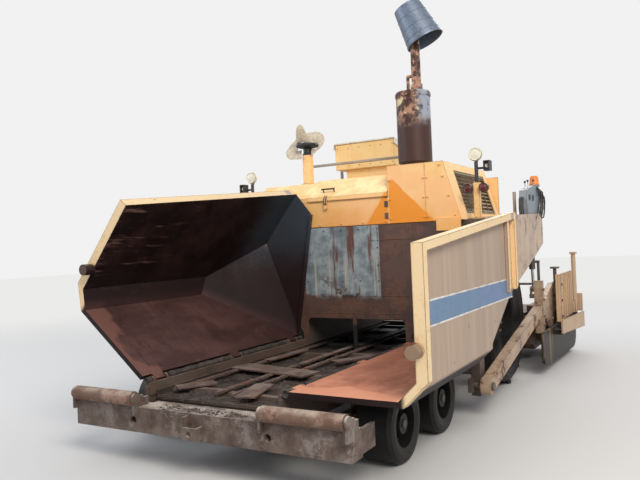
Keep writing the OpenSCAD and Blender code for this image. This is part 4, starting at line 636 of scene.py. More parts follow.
def build_materials():
    """Every finish of the paver, by the record's slot names and a few extra ones."""
    look = bpy.context.scene.paver_finish
    groups = {"wing": build_wing_group()}
    groups["weather"] = build_weather_group(build_edge_group())
    cream = tuple(look.cream)
    pale = tuple(min(1, c * 1.04 + 0.06) for c in cream)
    soot = (0.035, 0.028, 0.025)

    def paint(name, base, second, **wear):
        MATERIALS[name] = weathered(name, groups, base, second, **wear)

    def plain(name, *values):
        MATERIALS[name] = simple(name, *values)

    paint("cream_paint", cream, pale, rust_amount=0.38, streaks=0.32, dust_amount=0.12, grime=0.10)
    paint("hood_paint", cream, pale, rust=(0.42, 0.20, 0.09), rust_amount=0.24, streaks=0.16,
          dust=(0.95, 0.86, 0.50), dust_amount=0.8, grime=0.04, edge=1.5, finish=hood_paint_and_sunlit_patches)
    paint("arm_paint", (0.56, 0.38, 0.23), (0.40, 0.29, 0.20), rust_amount=0.58, streaks=0.5,
          dust_amount=0.2)
    paint("panel_paint", (0.60, 0.44, 0.31), (0.47, 0.35, 0.27), rust=soot, rust_amount=0.50,
          streaks=0.35, dust_amount=0.15)
    paint("gate_paint", (0.014, 0.012, 0.012), (0.032, 0.026, 0.023), rust=(0.050, 0.034, 0.022),
          rust_amount=0.4, streaks=0.4, dust_amount=0.06, gloss=0.2, finish=gate_finish)
    paint("intake_paint", cream, pale, rust_amount=0.3, streaks=0.2, dust_amount=0.1,
          finish=intake_finish)
    paint("post_paint", cream, pale, rust_amount=0.35, streaks=0.3, dust_amount=0.1, finish=post_finish)
    paint("rail_paint", (0.30, 0.28, 0.26), (0.42, 0.37, 0.31), rust_amount=0.5, streaks=0.3,
          dust_amount=0.3)
    paint("painted_frame", (0.13, 0.10, 0.08), (0.22, 0.16, 0.12), rust_amount=0.9, streaks=0.5,
          dust_amount=0.7)
    paint("frame_steel", (0.060, 0.045, 0.038), (0.105, 0.078, 0.062), rust=(0.13, 0.070, 0.045),
          rust_amount=0.6, streaks=0.4, dust_amount=0.3)
    paint("worn_steel", (0.085, 0.072, 0.068), (0.15, 0.125, 0.115), rust_amount=0.75, streaks=0.3,
          dust_amount=0.75, bump=0.7)
    paint("beam_steel", (0.070, 0.063, 0.059), (0.19, 0.172, 0.158), rust=(0.125, 0.070, 0.048),
          dirt=(0.014, 0.013, 0.013), dust=(0.52, 0.44, 0.37), rust_amount=0.85, streaks=0.3,
          dust_amount=1.0, bump=0.9)
    paint("deck_crust", (0.022, 0.018, 0.016), (0.060, 0.046, 0.039), rust_amount=0.4, streaks=0.1,
          dust=(0.20, 0.16, 0.135), dust_amount=0.4, bump=1.0, gloss=0.25, finish=conveyor_wear_and_tunnel_shade)
    paint("bar_steel", (0.062, 0.046, 0.039), (0.16, 0.118, 0.097), rust=(0.12, 0.055, 0.035),
          rust_amount=0.7, streaks=0.2, dust=(0.36, 0.29, 0.25), dust_amount=0.4, bump=0.8,
          finish=conveyor_wear_and_tunnel_shade)
    paint("rusty_steel", (0.21, 0.115, 0.078), (0.31, 0.19, 0.14), rust_amount=0.9, streaks=0.3,
          dust_amount=0.8, bump=0.8)
    paint("rusty_plate", (0.060, 0.032, 0.026), (0.11, 0.062, 0.050), rust_amount=0.55, streaks=0.6,
          dust=(0.17, 0.11, 0.085), dust_amount=0.3, finish=wall_sheet_and_tunnel_shade)
    paint("dark_iron", (0.030, 0.026, 0.024), (0.065, 0.052, 0.046), rust_amount=0.55, streaks=0.4,
          dust_amount=0.6)
    paint("muffler_rust", (0.028, 0.016, 0.013), (0.050, 0.027, 0.022), rust=(0.075, 0.030, 0.019),
          rust_amount=0.5, streaks=0.4, dust_amount=0.03, bump=0.7, gloss=0.25, finish=muffler_finish)
    paint("grille_paint", (0.20, 0.175, 0.075), (0.30, 0.26, 0.14), rust_amount=0.5, streaks=0.4,
          dust_amount=0.4)
    paint("pale_cover", (0.72, 0.68, 0.58), (0.80, 0.77, 0.70), rust_amount=0.25, streaks=0.3,
          dust_amount=0.3)
    paint("console_paint", (0.84, 0.50, 0.16), (0.88, 0.62, 0.28), rust=(0.42, 0.20, 0.09),
          rust_amount=0.24, streaks=0.2, dust_amount=0.1, grime=0.05, edge=1.4)
    paint("blue_grey_paint", (0.17, 0.215, 0.26), (0.24, 0.29, 0.33), rust_amount=0.45, streaks=0.4,
          dust_amount=0.4)
    paint("lamp_metal", (0.70, 0.66, 0.50), (0.78, 0.76, 0.62), rust_amount=0.35, streaks=0.3,
          dust_amount=0.2, finish=lamp_finish)
    paint("walkway_steel", (0.045, 0.043, 0.043), (0.085, 0.08, 0.078), rust_amount=0.5, streaks=0.2,
          dust_amount=0.7)
    MATERIALS["galvanised"] = zinc("galvanised")
    plain("straw", (0.47, 0.38, 0.27), (0.66, 0.57, 0.43), 0.8, 30, 0.7)
    plain("black_vinyl", (0.018, 0.018, 0.02), (0.045, 0.043, 0.042), 0.5, 9, 0.35)
    plain("black_plastic", (0.016, 0.016, 0.017), (0.035, 0.035, 0.036), 0.45)
    plain("amber_plastic", (0.80, 0.20, 0.03), (0.86, 0.30, 0.06), 0.3, 14, 0.1)
    plain("chrome_rod", (0.46, 0.46, 0.47), (0.60, 0.60, 0.61), 0.3, 20, 0.1, 0.9)
    paint("tyre_rubber", (0.008, 0.008, 0.008), (0.015, 0.0145, 0.014), rust=(0.022, 0.019, 0.016),
          rust_amount=0.3, streaks=0.0, dust=(0.075, 0.064, 0.054), dust_amount=0.14, edge=0.8, bump=0.5,
          gloss=0.22)
    # Floor tones per wing: lit rust on the lowered left wing, the same rust painted in shade on the raised
    # right wing
    bright = ((0.47, 0.178, 0.108), (0.68, 0.285, 0.178), (0.70, 0.31, 0.19))
    dull = ((0.058, 0.028, 0.025), (0.105, 0.051, 0.045), (0.16, 0.074, 0.057))
    for side, sign, raised, floor in (("l", 1.0, 0.0, bright), ("r", -1.0, RAISED, dull)):
        MATERIALS["wing_" + side] = weathered("wing_paint_" + side, groups, (0.20, 0.10, 0.07),
                (0.30, 0.18, 0.13), rust_amount=0.44, streaks=0.4, dust_amount=0.1, edge=1.6, gloss=0.16,
                finish=wing_paint_and_shade(groups, sign, raised, floor))
    paint("stripe", tuple(look.stripe), (0.14, 0.20, 0.38), rust_amount=0.25, streaks=0.3,
          dust_amount=0.2, edge=0.3)
    paint("stripe_edge", (0.72, 0.70, 0.68), (0.62, 0.58, 0.55), rust_amount=0.3, streaks=0.3,
          dust_amount=0.2, edge=0.3)
    plain("tar_lumps", (0.020, 0.016, 0.015), (0.075, 0.058, 0.048), 0.75, 12, 1.0)
    plain("lamp_glass", (0.80, 0.76, 0.58), (0.70, 0.66, 0.52), 0.2, 30, 0.1)
    plain("conduit_metal", (0.50, 0.49, 0.46), (0.30, 0.29, 0.27), 0.35, 30, 0.5, 0.7)
    plain("red_lens", (0.060, 0.010, 0.010), (0.12, 0.018, 0.014), 0.3, 20, 0.1)


NODE_FINISH = {"chassis": "frame_steel", "hood": "hood_paint", "hood_lid": "hood_paint",
               "console": "console_paint", "tow_arms": "arm_paint", "side_panels": "panel_paint",
               "end_gates": "gate_paint", "intake": "intake_paint", "deck_rails": "rail_paint",
               "lamp_posts": "post_paint", "push_beam": "beam_steel", "conveyor_deck": "deck_crust",
               "conveyor_bars": "bar_steel", "wing_l": "wing_l", "wing_r": "wing_r"}


def dress_nodes():
    """Gives every CAD node the finish of its slot, or its own one."""
    slots = {row["node"]: row["material_slot"] for row in frame["record"]["subparts"]}
    for name, thing in NODES.items():
        finish = MATERIALS[NODE_FINISH.get(name, slots[name])]
        thing.data.materials.clear()
        thing.data.materials.append(finish)


# Surfaces worked out with numpy

def grid_faces(rows, cols, close_rows=False, close_cols=False):
    """Quads of a grid of rows x cols points, optionally joined round either way."""
    r = np.arange(rows if close_rows else rows - 1)
    c = np.arange(cols if close_cols else cols - 1)
    r, c = np.meshgrid(r, c, indexing="ij")
    r2, c2 = (r + 1) % rows, (c + 1) % cols
    return np.stack([r * cols + c, r2 * cols + c, r2 * cols + c2, r * cols + c2], -1).reshape(-1, 4)


def solid(name, shape, finish, body, smooth=True, bevel=0.0, fix=False):
    """A mesh object from (points, faces) that rides on a body and takes its finish from a slot."""
    points, faces = shape
    mesh = bpy.data.meshes.new(name)
    mesh.from_pydata(np.asarray(points, float).reshape(-1, 3).tolist(), [],
                     faces.tolist() if isinstance(faces, np.ndarray) else faces)
    mesh.update()
    if fix:
        edit = bmesh.new()
        edit.from_mesh(mesh)
        bmesh.ops.recalc_face_normals(edit, faces=edit.faces)
        edit.to_mesh(mesh)
        edit.free()
    mesh.polygons.foreach_set("use_smooth", [smooth] * len(mesh.polygons))
    thing = bpy.data.objects.new(name, mesh)
    bpy.context.scene.collection.objects.link(thing)
    mesh.materials.append(MATERIALS[finish])
    if bevel:
        rim = thing.modifiers.new("Edges", "BEVEL")
        rim.width = bevel
        rim.segments = 2
        rim.limit_method = "ANGLE"
    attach(thing, body)
    return thing


BOX_POINTS = np.array([[x, y, z] for x in (-1, 1) for y in (-1, 1) for z in (-1, 1)], float) / 2
BOX_FACES = np.array([[0, 1, 3, 2], [4, 6, 7, 5], [0, 4, 5, 1], [2, 3, 7, 6], [0, 2, 6, 4],
                      [1, 5, 7, 3]])


def boxes(rows):
    """Points and faces of many boxes: each row is centre, size and a 3x3 turn or None."""
    points, faces = [], []
    for centre, size, turn in rows:
        corner = BOX_POINTS * np.asarray(size)
        if turn is not None:
            corner = corner @ np.asarray(turn).T
        faces.append(BOX_FACES + 8 * len(points))
        points.append(corner + np.asarray(centre))
    return np.concatenate(points), np.concatenate(faces)


# Small parts: bolts, lug nuts, plates

def turn_to(axis):
    """3x3 matrix that takes Z to an axis."""
    return np.array(Vector(axis).to_track_quat("Z", "Y").to_matrix())


def tilt_x(degrees):
    """3x3 turn about X."""
    a = math.radians(degrees)
    return np.array([[1, 0, 0], [0, math.cos(a), -math.sin(a)], [0, math.sin(a), math.cos(a)]])


def turn_z(a):
    """3x3 turn about Z by an angle in radians."""
    return np.array([[math.cos(a), -math.sin(a), 0], [math.sin(a), math.cos(a), 0], [0, 0, 1]])


def around(count):
    """Angles at even steps round a circle."""
    return np.arange(count) * 2 * math.pi / count


def hex_bolt(width, height):
    """Points and faces of a hexagon head with a chamfered top, on the plane z = 0."""
    angle = np.arange(6) * math.pi / 3
    rings = [(width / math.sqrt(3), 0), (width / math.sqrt(3), height * 0.75), (width * 0.46, height)]
    points = np.concatenate([np.stack([r * np.cos(angle), r * np.sin(angle), np.full(6, z)], 1)
                             for r, z in rings])
    return points, [list(f) for f in grid_faces(3, 6, close_cols=True)] + [list(range(12, 18))]


def repeat(template, spots):
    """Copies of a template shape at spots of (place, axis), as one mesh's points and faces."""
    points, faces = template
    points = np.asarray(points, float)
    all_points, all_faces = [], []
    for count, (place, axis) in enumerate(spots):
        all_points.append(points @ turn_to(axis).T + np.asarray(place))
        all_faces += [[i + count * len(points) for i in face] for face in faces]
    return np.concatenate(all_points), all_faces


def facing_front(xs, y, zs):
    """Spots on a grid of X and Z that face forwards."""
    return [((x, y, z), (0, -1, 0)) for x in xs for z in zs]


def ringed(x, y, z, radius, side, angles):
    """Spots round a wheel, facing out of the machine's side."""
    return [((x, y + radius * math.cos(a), z + radius * math.sin(a)), (side, 0, 0)) for a in angles]


def bolts(name, spots, body, finish, width):
    """Hexagon heads at spots of (place, axis); width is over the flats."""
    solid(name, repeat(hex_bolt(width, width * 0.55), spots), finish, body, smooth=False)


def revolve(profile, centre, axis, steps=48):
    """Surface of revolution: profile rows are (radius, height along the axis)."""
    profile = np.asarray(profile, float)
    angle = around(steps)
    ring = np.stack([np.cos(angle), np.sin(angle), np.zeros(steps)], 1)
    points = profile[:, None, 0:1] * ring + profile[:, None, 1:2] * np.array([0, 0, 1.0])
    return points @ turn_to(axis).T + np.asarray(centre), grid_faces(len(profile), steps, close_cols=True)


def sweep(path, radius, sides=8, closed=False):
    """A tube along a path: a ring square to the path at every point; the ends are capped."""
    path = np.asarray(path, float)
    ahead = np.roll(path, -1, 0) - np.roll(path, 1, 0) if closed else np.gradient(path, axis=0)
    ahead /= np.linalg.norm(ahead, axis=1, keepdims=True)
    side = np.cross(ahead[0], (0.13, 0.27, 0.95))
    sides_out = []
    for way in ahead:
        side = side - way * (side @ way)
        side /= np.linalg.norm(side)
        sides_out.append(side)
    across = np.array(sides_out)
    other = np.cross(ahead, across)
    angle = (np.arange(sides) + 0.5) * 2 * math.pi / sides
    radius = np.broadcast_to(np.asarray(radius, float).reshape(-1, 1, 1), (len(path), 1, 1))
    ring = across[:, None] * np.cos(angle)[None, :, None] + other[:, None] * np.sin(angle)[None, :, None]
    points = path[:, None] + radius * ring
    faces = [list(f) for f in grid_faces(len(path), sides, close_rows=closed, close_cols=True)]
    if not closed:
        faces += [list(range(sides))[::-1], list(range((len(path) - 1) * sides, len(path) * sides))]
    return points.reshape(-1, 3), faces


def curve(points, count=40):
    """Smooth path through given points (Catmull-Rom), evenly spaced by parameter."""
    p = np.asarray(points, float)
    p = np.vstack([2 * p[0] - p[1], p, 2 * p[-1] - p[-2]])
    t = np.linspace(0, len(p) - 3 - 1e-6, count)
    i = t.astype(int)
    f = (t - i)[:, None]
    a, b, c, d = p[i], p[i + 1], p[i + 2], p[i + 3]
    return 0.5 * (2 * b + (c - a) * f + (2 * a - 5 * b + 4 * c - d) * f ** 2
                  + (3 * b - a - 3 * c + d) * f ** 3)


def merged(parts):
    """One mesh's points and faces from several (points, faces) pairs."""
    points, faces, start = [], [], 0
    for p, f in parts:
        p = np.asarray(p, float).reshape(-1, 3)
        faces += [[int(i) + start for i in face] for face in f]
        points.append(p)
        start += len(p)
    return np.concatenate(points), faces


# Lamps, grille, hood and wall details

def build_lamps():
    """Lenses of the work lamps, the marker lamps and the small hooded lamps.

    A lens is a paraboloid z = bulge * (1 - (r / radius)^2) inside a flat rim.
    """
    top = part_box("work_lamps")[1].z - 0.068
    y = at(LAMP_DISTANCE)

    def lens(centre, radius, bulge):
        rows = [(radius * k, bulge * (1 - k * k)) for k in np.linspace(0, 1, 7)]
        rows += [(radius, 0.004), (radius + 0.006, 0.004), (radius + 0.006, -0.003)]
        return revolve(rows, centre, (0, -1, 0), 32)

    clear, red = [], []
    for side in (1, -1):
        clear.append(lens((side * LAMP_X, y - 0.030, top), 0.054, 0.009))
        clear.append(lens((side * (LAMP_X + 0.113), y - 0.030, top - 0.120), 0.014, 0.004))
        red += [lens((side * LAMP_X + k * 0.075, y - 0.0585, top - 0.326), 0.034, 0.010) for k in (-1, 1)]
    solid("lamp_lenses", merged(clear), "lamp_glass", "machine")
    solid("marker_lenses", merged(red), "red_lens", "machine")


def build_grille_mesh():
    """Expanded mesh over the front bays of the left grille: two families of slanted wires."""
    lean = math.atan2(HOOD_LEAN, HOOD_TOP - HOOD_Z)
    outward = Vector((math.cos(lean), 0, math.sin(lean)))
    start, end, low, high, pitch = 2.79, 3.38, 0.115, 0.50, 0.032

    def on_plane(distance, rise):
        foot = Vector((HOOD_HALF - math.sin(lean) * rise, at(distance), HOOD_Z + math.cos(lean) * rise))
        return foot - outward * 0.0015

    wires = []
    for first in np.arange(start - (high - low), end, pitch):
        a, b = max(0.0, start - first), min(high - low, end - first)
        if b - a < 0.015:
            continue
        for foot, way in ((low, 1), (high, -1)):
            wires.append(sweep([on_plane(first + a, foot + way * a), on_plane(first + b, foot + way * b)],
                               0.0017, 4))
    solid("grille_mesh", merged(wires), "grille_paint", "machine", smooth=False)


def bead(line, radius, rng):
    """A weld bead along a line: its radius and height waver from run to run."""
    line = np.asarray(line, float)
    length = np.linalg.norm(line[1] - line[0])
    count = max(4, int(length / BEAD_STEP))
    t = np.linspace(0, 1, count)[:, None]
    path = line[0] + (line[1] - line[0]) * t
    path[1:-1] += rng.normal(0, 0.0006, (count - 2, 3))
    return sweep(path, radius * (1 + 0.16 * rng.standard_normal(count)), 6)


def build_wall_trim():
    """Back wall: weld seams and the rivets of the pale sheet."""
    rng = np.random.default_rng(SEED)
    y = at(WALL_DISTANCE) - 0.0005
    lines = [((-0.60, y, 1.085), (0.62, y, 1.085)), ((0.22, y, 1.658), (1.16, y, 1.658)),
             ((-0.575, y, 0.90), (0.575, y, 0.90)), ((0.325, y, 1.10), (0.325, y, 1.80))]
    solid("wall_seams", merged([bead(line, 0.0040, rng) for line in lines]), "rusty_plate", "machine")
    spots = facing_front(np.arange(-0.54, 0.31, 0.21), y, (1.24, 1.775))
    spots += facing_front((-0.56, 0.30), y, (1.40, 1.58))
    bolts("wall_rivets", spots, "machine", "rusty_steel", 0.016)


def build_hood_trim():
    """Hood: bolts along the sheets, three hinges, the latch's hook, and the console's screws."""
    y = at(WALL_DISTANCE)
    spots = facing_front((0.462, 0.822, 0.860), y, (1.865, 2.06, 2.25))
    spots += [((1.150 - (z - HOOD_Z) * HOOD_LEAN / (HOOD_TOP - HOOD_Z), y, z), (0, -1, 0))
              for z in (1.865, 2.06, 2.25, 2.36)]
    spots += [((x, y, 1.842), (0, -1, 0)) for x in np.arange(-1.15, 0.42, 0.26)]
    bolts("hood_bolts", spots, "machine", "hood_paint", 0.018)
    parts = []
    for z in (1.90, 2.02, 2.115):
        parts.append(boxes([((0.414, y - 0.0035, z), (0.030, 0.006, 0.058), None)]))
        parts.append(sweep([(0.431, y - 0.007, z - 0.031), (0.431, y - 0.007, z + 0.031)], 0.007, 10))
    solid("hood_hinges", merged(parts), "rusty_steel", "machine", smooth=False)
    hook = [(-0.281, y - 0.008, 2.150), (-0.281, y - 0.022, 2.135), (-0.281, y - 0.034, 2.105),
            (-0.281, y - 0.035, 2.060)]
    loops = [sweep(curve(np.array(hook) + np.array([k, 0, 0]), 12), 0.0055, 8) for k in (-0.012, 0.012)]
    loops.append(sweep([(-0.301, y - 0.035, 2.062), (-0.261, y - 0.035, 2.062)], 0.007, 8))
    solid("latch_hook", merged(loops), "dark_iron", "hood_lid")
    low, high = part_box("console")
    spots = facing_front(np.linspace(low.x + 0.05, high.x - 0.05, 6), low.y,
                         (high.z - 0.29, high.z - 0.06))
    bolts("console_screws", spots, "machine", "rusty_steel", 0.012)


def build_pail_trim():
    """Two rolled hoops round the pail, in its own tilted frame."""
    lean, nod = math.radians(-24), math.radians(6)
    about_y = np.array([[math.cos(lean), 0, math.sin(lean)], [0, 1, 0],
                        [-math.sin(lean), 0, math.cos(lean)]])
    turn = about_y @ tilt_x(math.degrees(nod))
    angle = around(64)
    hoops = []
    for z in (-0.115, -0.245, -0.350):
        r = PAIL_TOP_R + (0.006 - z) * (PAIL_RIM_R - PAIL_TOP_R) / PAIL_DEPTH
        ring = np.stack([r * np.cos(angle), r * np.sin(angle), np.full(64, z)], 1)
        hoops.append(sweep(ring @ turn.T + np.array(PAIL_PLACE), 0.0032, 6, True))
    solid("pail_hoops", merged(hoops), "galvanised", "machine")


def build_treads():
    """Raised bars of the tread plates, crosswise in turn, on deck, walkway and screed."""
    fields = [("deck_tread", "machine", "cream_paint", (-1.10, 4.50), (1.10, 4.92), 1.9000),
              ("screed_tread", "screed", "walkway_steel", (-1.12, 5.17), (1.12, 6.10), 0.6303)]
    for name, body, slot, low, high, level in fields:
        rows = []
        for i, x in enumerate(np.arange(low[0], high[0], TREAD_PITCH)):
            for j, d in enumerate(np.arange(low[1], high[1], TREAD_PITCH)):
                a = math.pi / 4 if (i + j) % 2 else -math.pi / 4
                rows.append(((x, at(d), level + 0.0008), (0.036, 0.006, 0.0024), turn_z(a)))
        solid(name, boxes(rows), "walkway_steel", body, smooth=False)


def build_hinge_crust():
    """Packed asphalt round the wings' hinge lines, between the knuckles: a lumpy roll about the axis."""
    rng = np.random.default_rng(SEED + 5)
    cuts = [0.175] + [d + k * 0.098 for d in (0.32, 1.32, 2.30) for k in (-1, 1)] + [2.485]
    parts = []
    for side in (1, -1):
        for start, end in zip(cuts[::2], cuts[1::2]):
            count = max(4, int((end - start) / 0.02))
            d = np.linspace(start, end, count)
            path = np.stack([np.full(count, side * (HINGE_X - 0.002)), at(0) + d,
                             np.full(count, HINGE_Z + 0.001)], 1)
            wave = 0.027 + 0.002 * np.sin(d * 31 + side) + 0.0015 * rng.standard_normal(count)
            parts.append(sweep(path, np.minimum(wave, 0.0315), 14))
    solid("hinge_crust", merged(parts), "tar_lumps", "machine")


def build_chain_pins():
    """Pins through the links of the four conveyor chains."""
    pins = []
    for x in (-0.500, -0.080, 0.080, 0.500):
        for d in np.arange(0.420, 4.28, 0.200):
            for k in (0.014, 0.101):
                pins.append(sweep([(x - 0.033, at(d + k), 0.537), (x + 0.033, at(d + k), 0.537)], 0.0075, 8))
    solid("chain_pins", merged(pins), "bar_steel", "machine", smooth=False)


def build_gate_trim():
    """Nuts of the rubbing plates, bolts of the ribbed walls and the tow arms.

    A rubbing plate's screws are countersunk, so only their nuts show, on its inner face.
    """
    spots, arms = [], []
    for side in (1, -1):
        out = (side, 0, 0)
        for d, z in ((4.75, 0.53), (5.41, 0.505), (6.13, 0.51)):
            spots.append(((side * 1.690, at(d), z), (-side, 0, 0)))
        spots += [((side * 1.616, at(5.11), z), out) for z in (0.60, 0.80, 1.00)]
        arms += [((side * 1.500, at(4.58), z), out) for z in (0.56, 0.66, 0.86, 0.98)]
        arms += [((side * 1.485, at(d), z), out) for d, z in ((4.74, 0.60), (4.95, 0.56), (5.15, 0.56),
                                                            (5.33, 0.62), (5.33, 0.84), (5.20, 0.93))]
    bolts("gate_bolts", spots, "screed", "rusty_steel", 0.030)
    bolts("arm_bolts", arms, "screed", "rusty_steel", 0.030)


def build_console_trim():
    """Side console: levers with knobs, two dials, and the bent conduits that leave its rear."""
    levers, knobs, dials = [], [], []
    for k, d in enumerate((4.62, 4.72, 4.98)):
        foot = np.array((1.335 + 0.012 * k, at(d), 2.205 + 0.02 * k))
        tip = foot + np.array((0.0, -0.02, 0.085))
        levers.append(sweep([foot, tip], 0.005, 8))
        ball = [(0.015 * math.sin(a), -0.015 * math.cos(a)) for a in np.linspace(0, math.pi, 9)]
        knobs.append(revolve(ball, tip, (0, 0, 1), 16))
    for d in (4.60, 4.78):
        dials.append(revolve([(0, 0.004), (0.032, 0.004), (0.034, 0.007), (0.038, 0.007), (0.040, -0.001)],
                             (1.382, at(d), 2.10), (1, 0, 0), 32))
    solid("console_levers", merged(levers), "chrome_rod", "machine")
    solid("console_knobs", merged(knobs + dials), "black_plastic", "machine")
    route = np.array([(1.330, 5.140, 2.190), (1.335, 5.220, 2.235), (1.352, 5.330, 2.225),
                      (1.368, 5.410, 2.130), (1.372, 5.400, 2.000), (1.362, 5.320, 1.905),
                      (1.345, 5.230, 1.860), (1.335, 5.150, 1.845)])

    def tube(line, count, radius):
        """A smooth tube through points of (X, distance behind the beam, Z)."""
        return sweep(curve(line, count) + np.array((0, at(0), 0)), radius, 8)

    middle = route[2:6].mean(0)
    tubes = []
    for k in range(5):
        grown = route.copy()
        grown[1:7] = middle + (route[1:7] - middle) * (1 - 0.11 * k)
        grown[:, 0] += 0.018 * (k - 2) * np.sin(np.linspace(0.4, math.pi - 0.4, len(route)))
        tubes.append(tube(grown, 36, 0.0075 + 0.0012 * (k % 3)))
    solid("cable_conduits", merged(tubes), "conduit_metal", "machine")
    # Dark rigid pipes clipped to the console's outer side and rear
    pipes = []
    for k in range(6):
        d, top = 4.99 + 0.032 * k, 2.235 - 0.018 * k
        bow = 1.392 + 0.014 * (k % 3)
        line = [(1.380, d, top), (bow + 0.022, d + 0.012, top - 0.02), (bow + 0.020, d + 0.03, top - 0.16),
                (bow + 0.004, d + 0.02, top - 0.28), (1.380, d + 0.010, 1.890 - 0.006 * k)]
        pipes.append(tube(line, 24, 0.0085))
    for k in range(3):
        line = [(1.300 + 0.022 * k, 4.462, 2.10), (1.300 + 0.022 * k, 4.425, 2.07),
                (1.302 + 0.022 * k, 4.405, 1.97), (1.300 + 0.022 * k, 4.440, 1.87),
                (1.300 + 0.022 * k, 4.462, 1.862)]
        pipes.append(tube(line, 20, 0.0075))
    solid("console_pipes", merged(pipes), "black_plastic", "machine")


# Wings

def wing_point(u, y, v, side, raised):
    """A place in a wing's frame in the machine's frame."""
    turn = RAISED if raised else 0.0
    x = HINGE_X + u * math.cos(turn) - v * math.sin(turn)
    z = HINGE_Z + u * math.sin(turn) + v * math.cos(turn)
    return (side * x, y, z)


WING_REACH = 1.050
WING_RECESS = 0.045


def build_wing_trim():
    """Blue stripe with white borders on each outer panel."""
    sizes = bpy.context.scene.paver_sizes
    skin = WING_REACH - WING_RECESS
    for side, raised, tag in ((1, False, "l"), (-1, True, "r")):
        body = "wing_" + tag
        start, end = 0.245, 2.435

        def band(name, low, high, proud, finish):
            corners = [(start, low), (end, low), (end, high), (start, high)]
            rows = [wing_point(skin + proud * k, at(d), v, side, raised)
                    for k in (-1, 1) for d, v in corners]
            faces = [[0, 1, 2, 3], [4, 7, 6, 5], [0, 4, 5, 1], [1, 5, 6, 2], [2, 6, 7, 3], [3, 7, 4, 0]]
            solid(name, (rows, faces), finish, body, smooth=False, fix=True)

        # A level stripe between two white lines
        low = sizes.stripe_low
        high = low + sizes.stripe_width
        edge = 0.012
        band("stripe_" + tag, low, high, 0.0012, "stripe")
        band("stripe_top_" + tag, high, high + edge, 0.0016, "stripe_edge")
        band("stripe_low_" + tag, low - edge, low, 0.0016, "stripe_edge")


# Wheels

def build_wheel_trim():
    """Nuts of all wheels, and plain rings on the drive wheels' side walls."""
    for tag, side in (("l", 1), ("r", -1)):
        for k in (1, 2):
            node = f"front_wheel_{tag}{k}"
            low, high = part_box(node)
            middle = Vector((side * 1.136, (low.y + high.y) / 2, (low.z + high.z) / 2))
            spots = ringed(*middle, 0.066, side, around(6))
            bolts(f"lug_nuts_{tag}{k}", spots, node, "rusty_steel", 0.024)
        node = "drive_wheel_" + tag
        low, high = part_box(node)
        y, z = (low.y + high.y) / 2, (low.z + high.z) / 2
        face = side * 1.134
        spots = ringed(face, y, z, 0.195, side, (np.arange(12) + 0.5) * math.pi / 6)
        bolts("drive_nuts_" + tag, spots, node, "rusty_steel", 0.032)
        # Plain raised rings round the side wall
        rings = []
        for radius in (0.455, 0.575):
            rings.append(revolve([(radius - 0.006, -0.004), (radius, 0.003), (radius + 0.006, -0.004)],
                                 (side * 1.3015, y, z), (side, 0, 0), 96))
        solid("wall_rings_" + tag, merged(rings), "tyre_rubber", node)


# Chair and hat

def rounded_pad(centre, size, turn=None, crown=0.3, power=4.0, rows=25, cols=48, channels=0, sink=0.004):
    """Crowned cushion: a superellipsoid |x|^p + |y|^p + |z|^2 = 1 with sewn channels across.

    Each point of a sphere (a, b) goes to (sgn cos^(2/p)...), so the sides pull in between the
    corners; channels sink the top along lines at even steps of x.
    """
    a = np.linspace(-math.pi / 2, math.pi / 2, rows)[:, None]
    b = around(cols)[None, :]

    def signed(value, exponent):
        return np.sign(value) * np.abs(value) ** exponent

    flat = 2 / power
    x = signed(np.cos(a), 0.45) * signed(np.cos(b), flat)
    y = signed(np.cos(a), 0.45) * signed(np.sin(b), flat)
    z = np.broadcast_to(signed(np.sin(a), 0.8), x.shape).copy()
    bulge = 1 + crown * (1 - x ** 2) * (1 - y ** 2)
    z = np.where(z > 0, z * bulge, z)
    shape = np.stack([x, y, z], -1) * np.asarray(size) / 2
    if channels:
        step = (shape[..., 0] / size[0] + 0.5) * channels
        groove = np.exp(-((step - np.round(step)) / 0.10) ** 2)
        inner = (np.abs(x) < 0.9) & (z > 0)
        shape[..., 2] -= np.where(inner, groove * sink * (1 - y ** 4), 0)
    points = shape.reshape(-1, 3)
    if turn is not None:
        points = points @ np.asarray(turn).T
    return points + np.asarray(centre), grid_faces(rows, cols, close_cols=True)


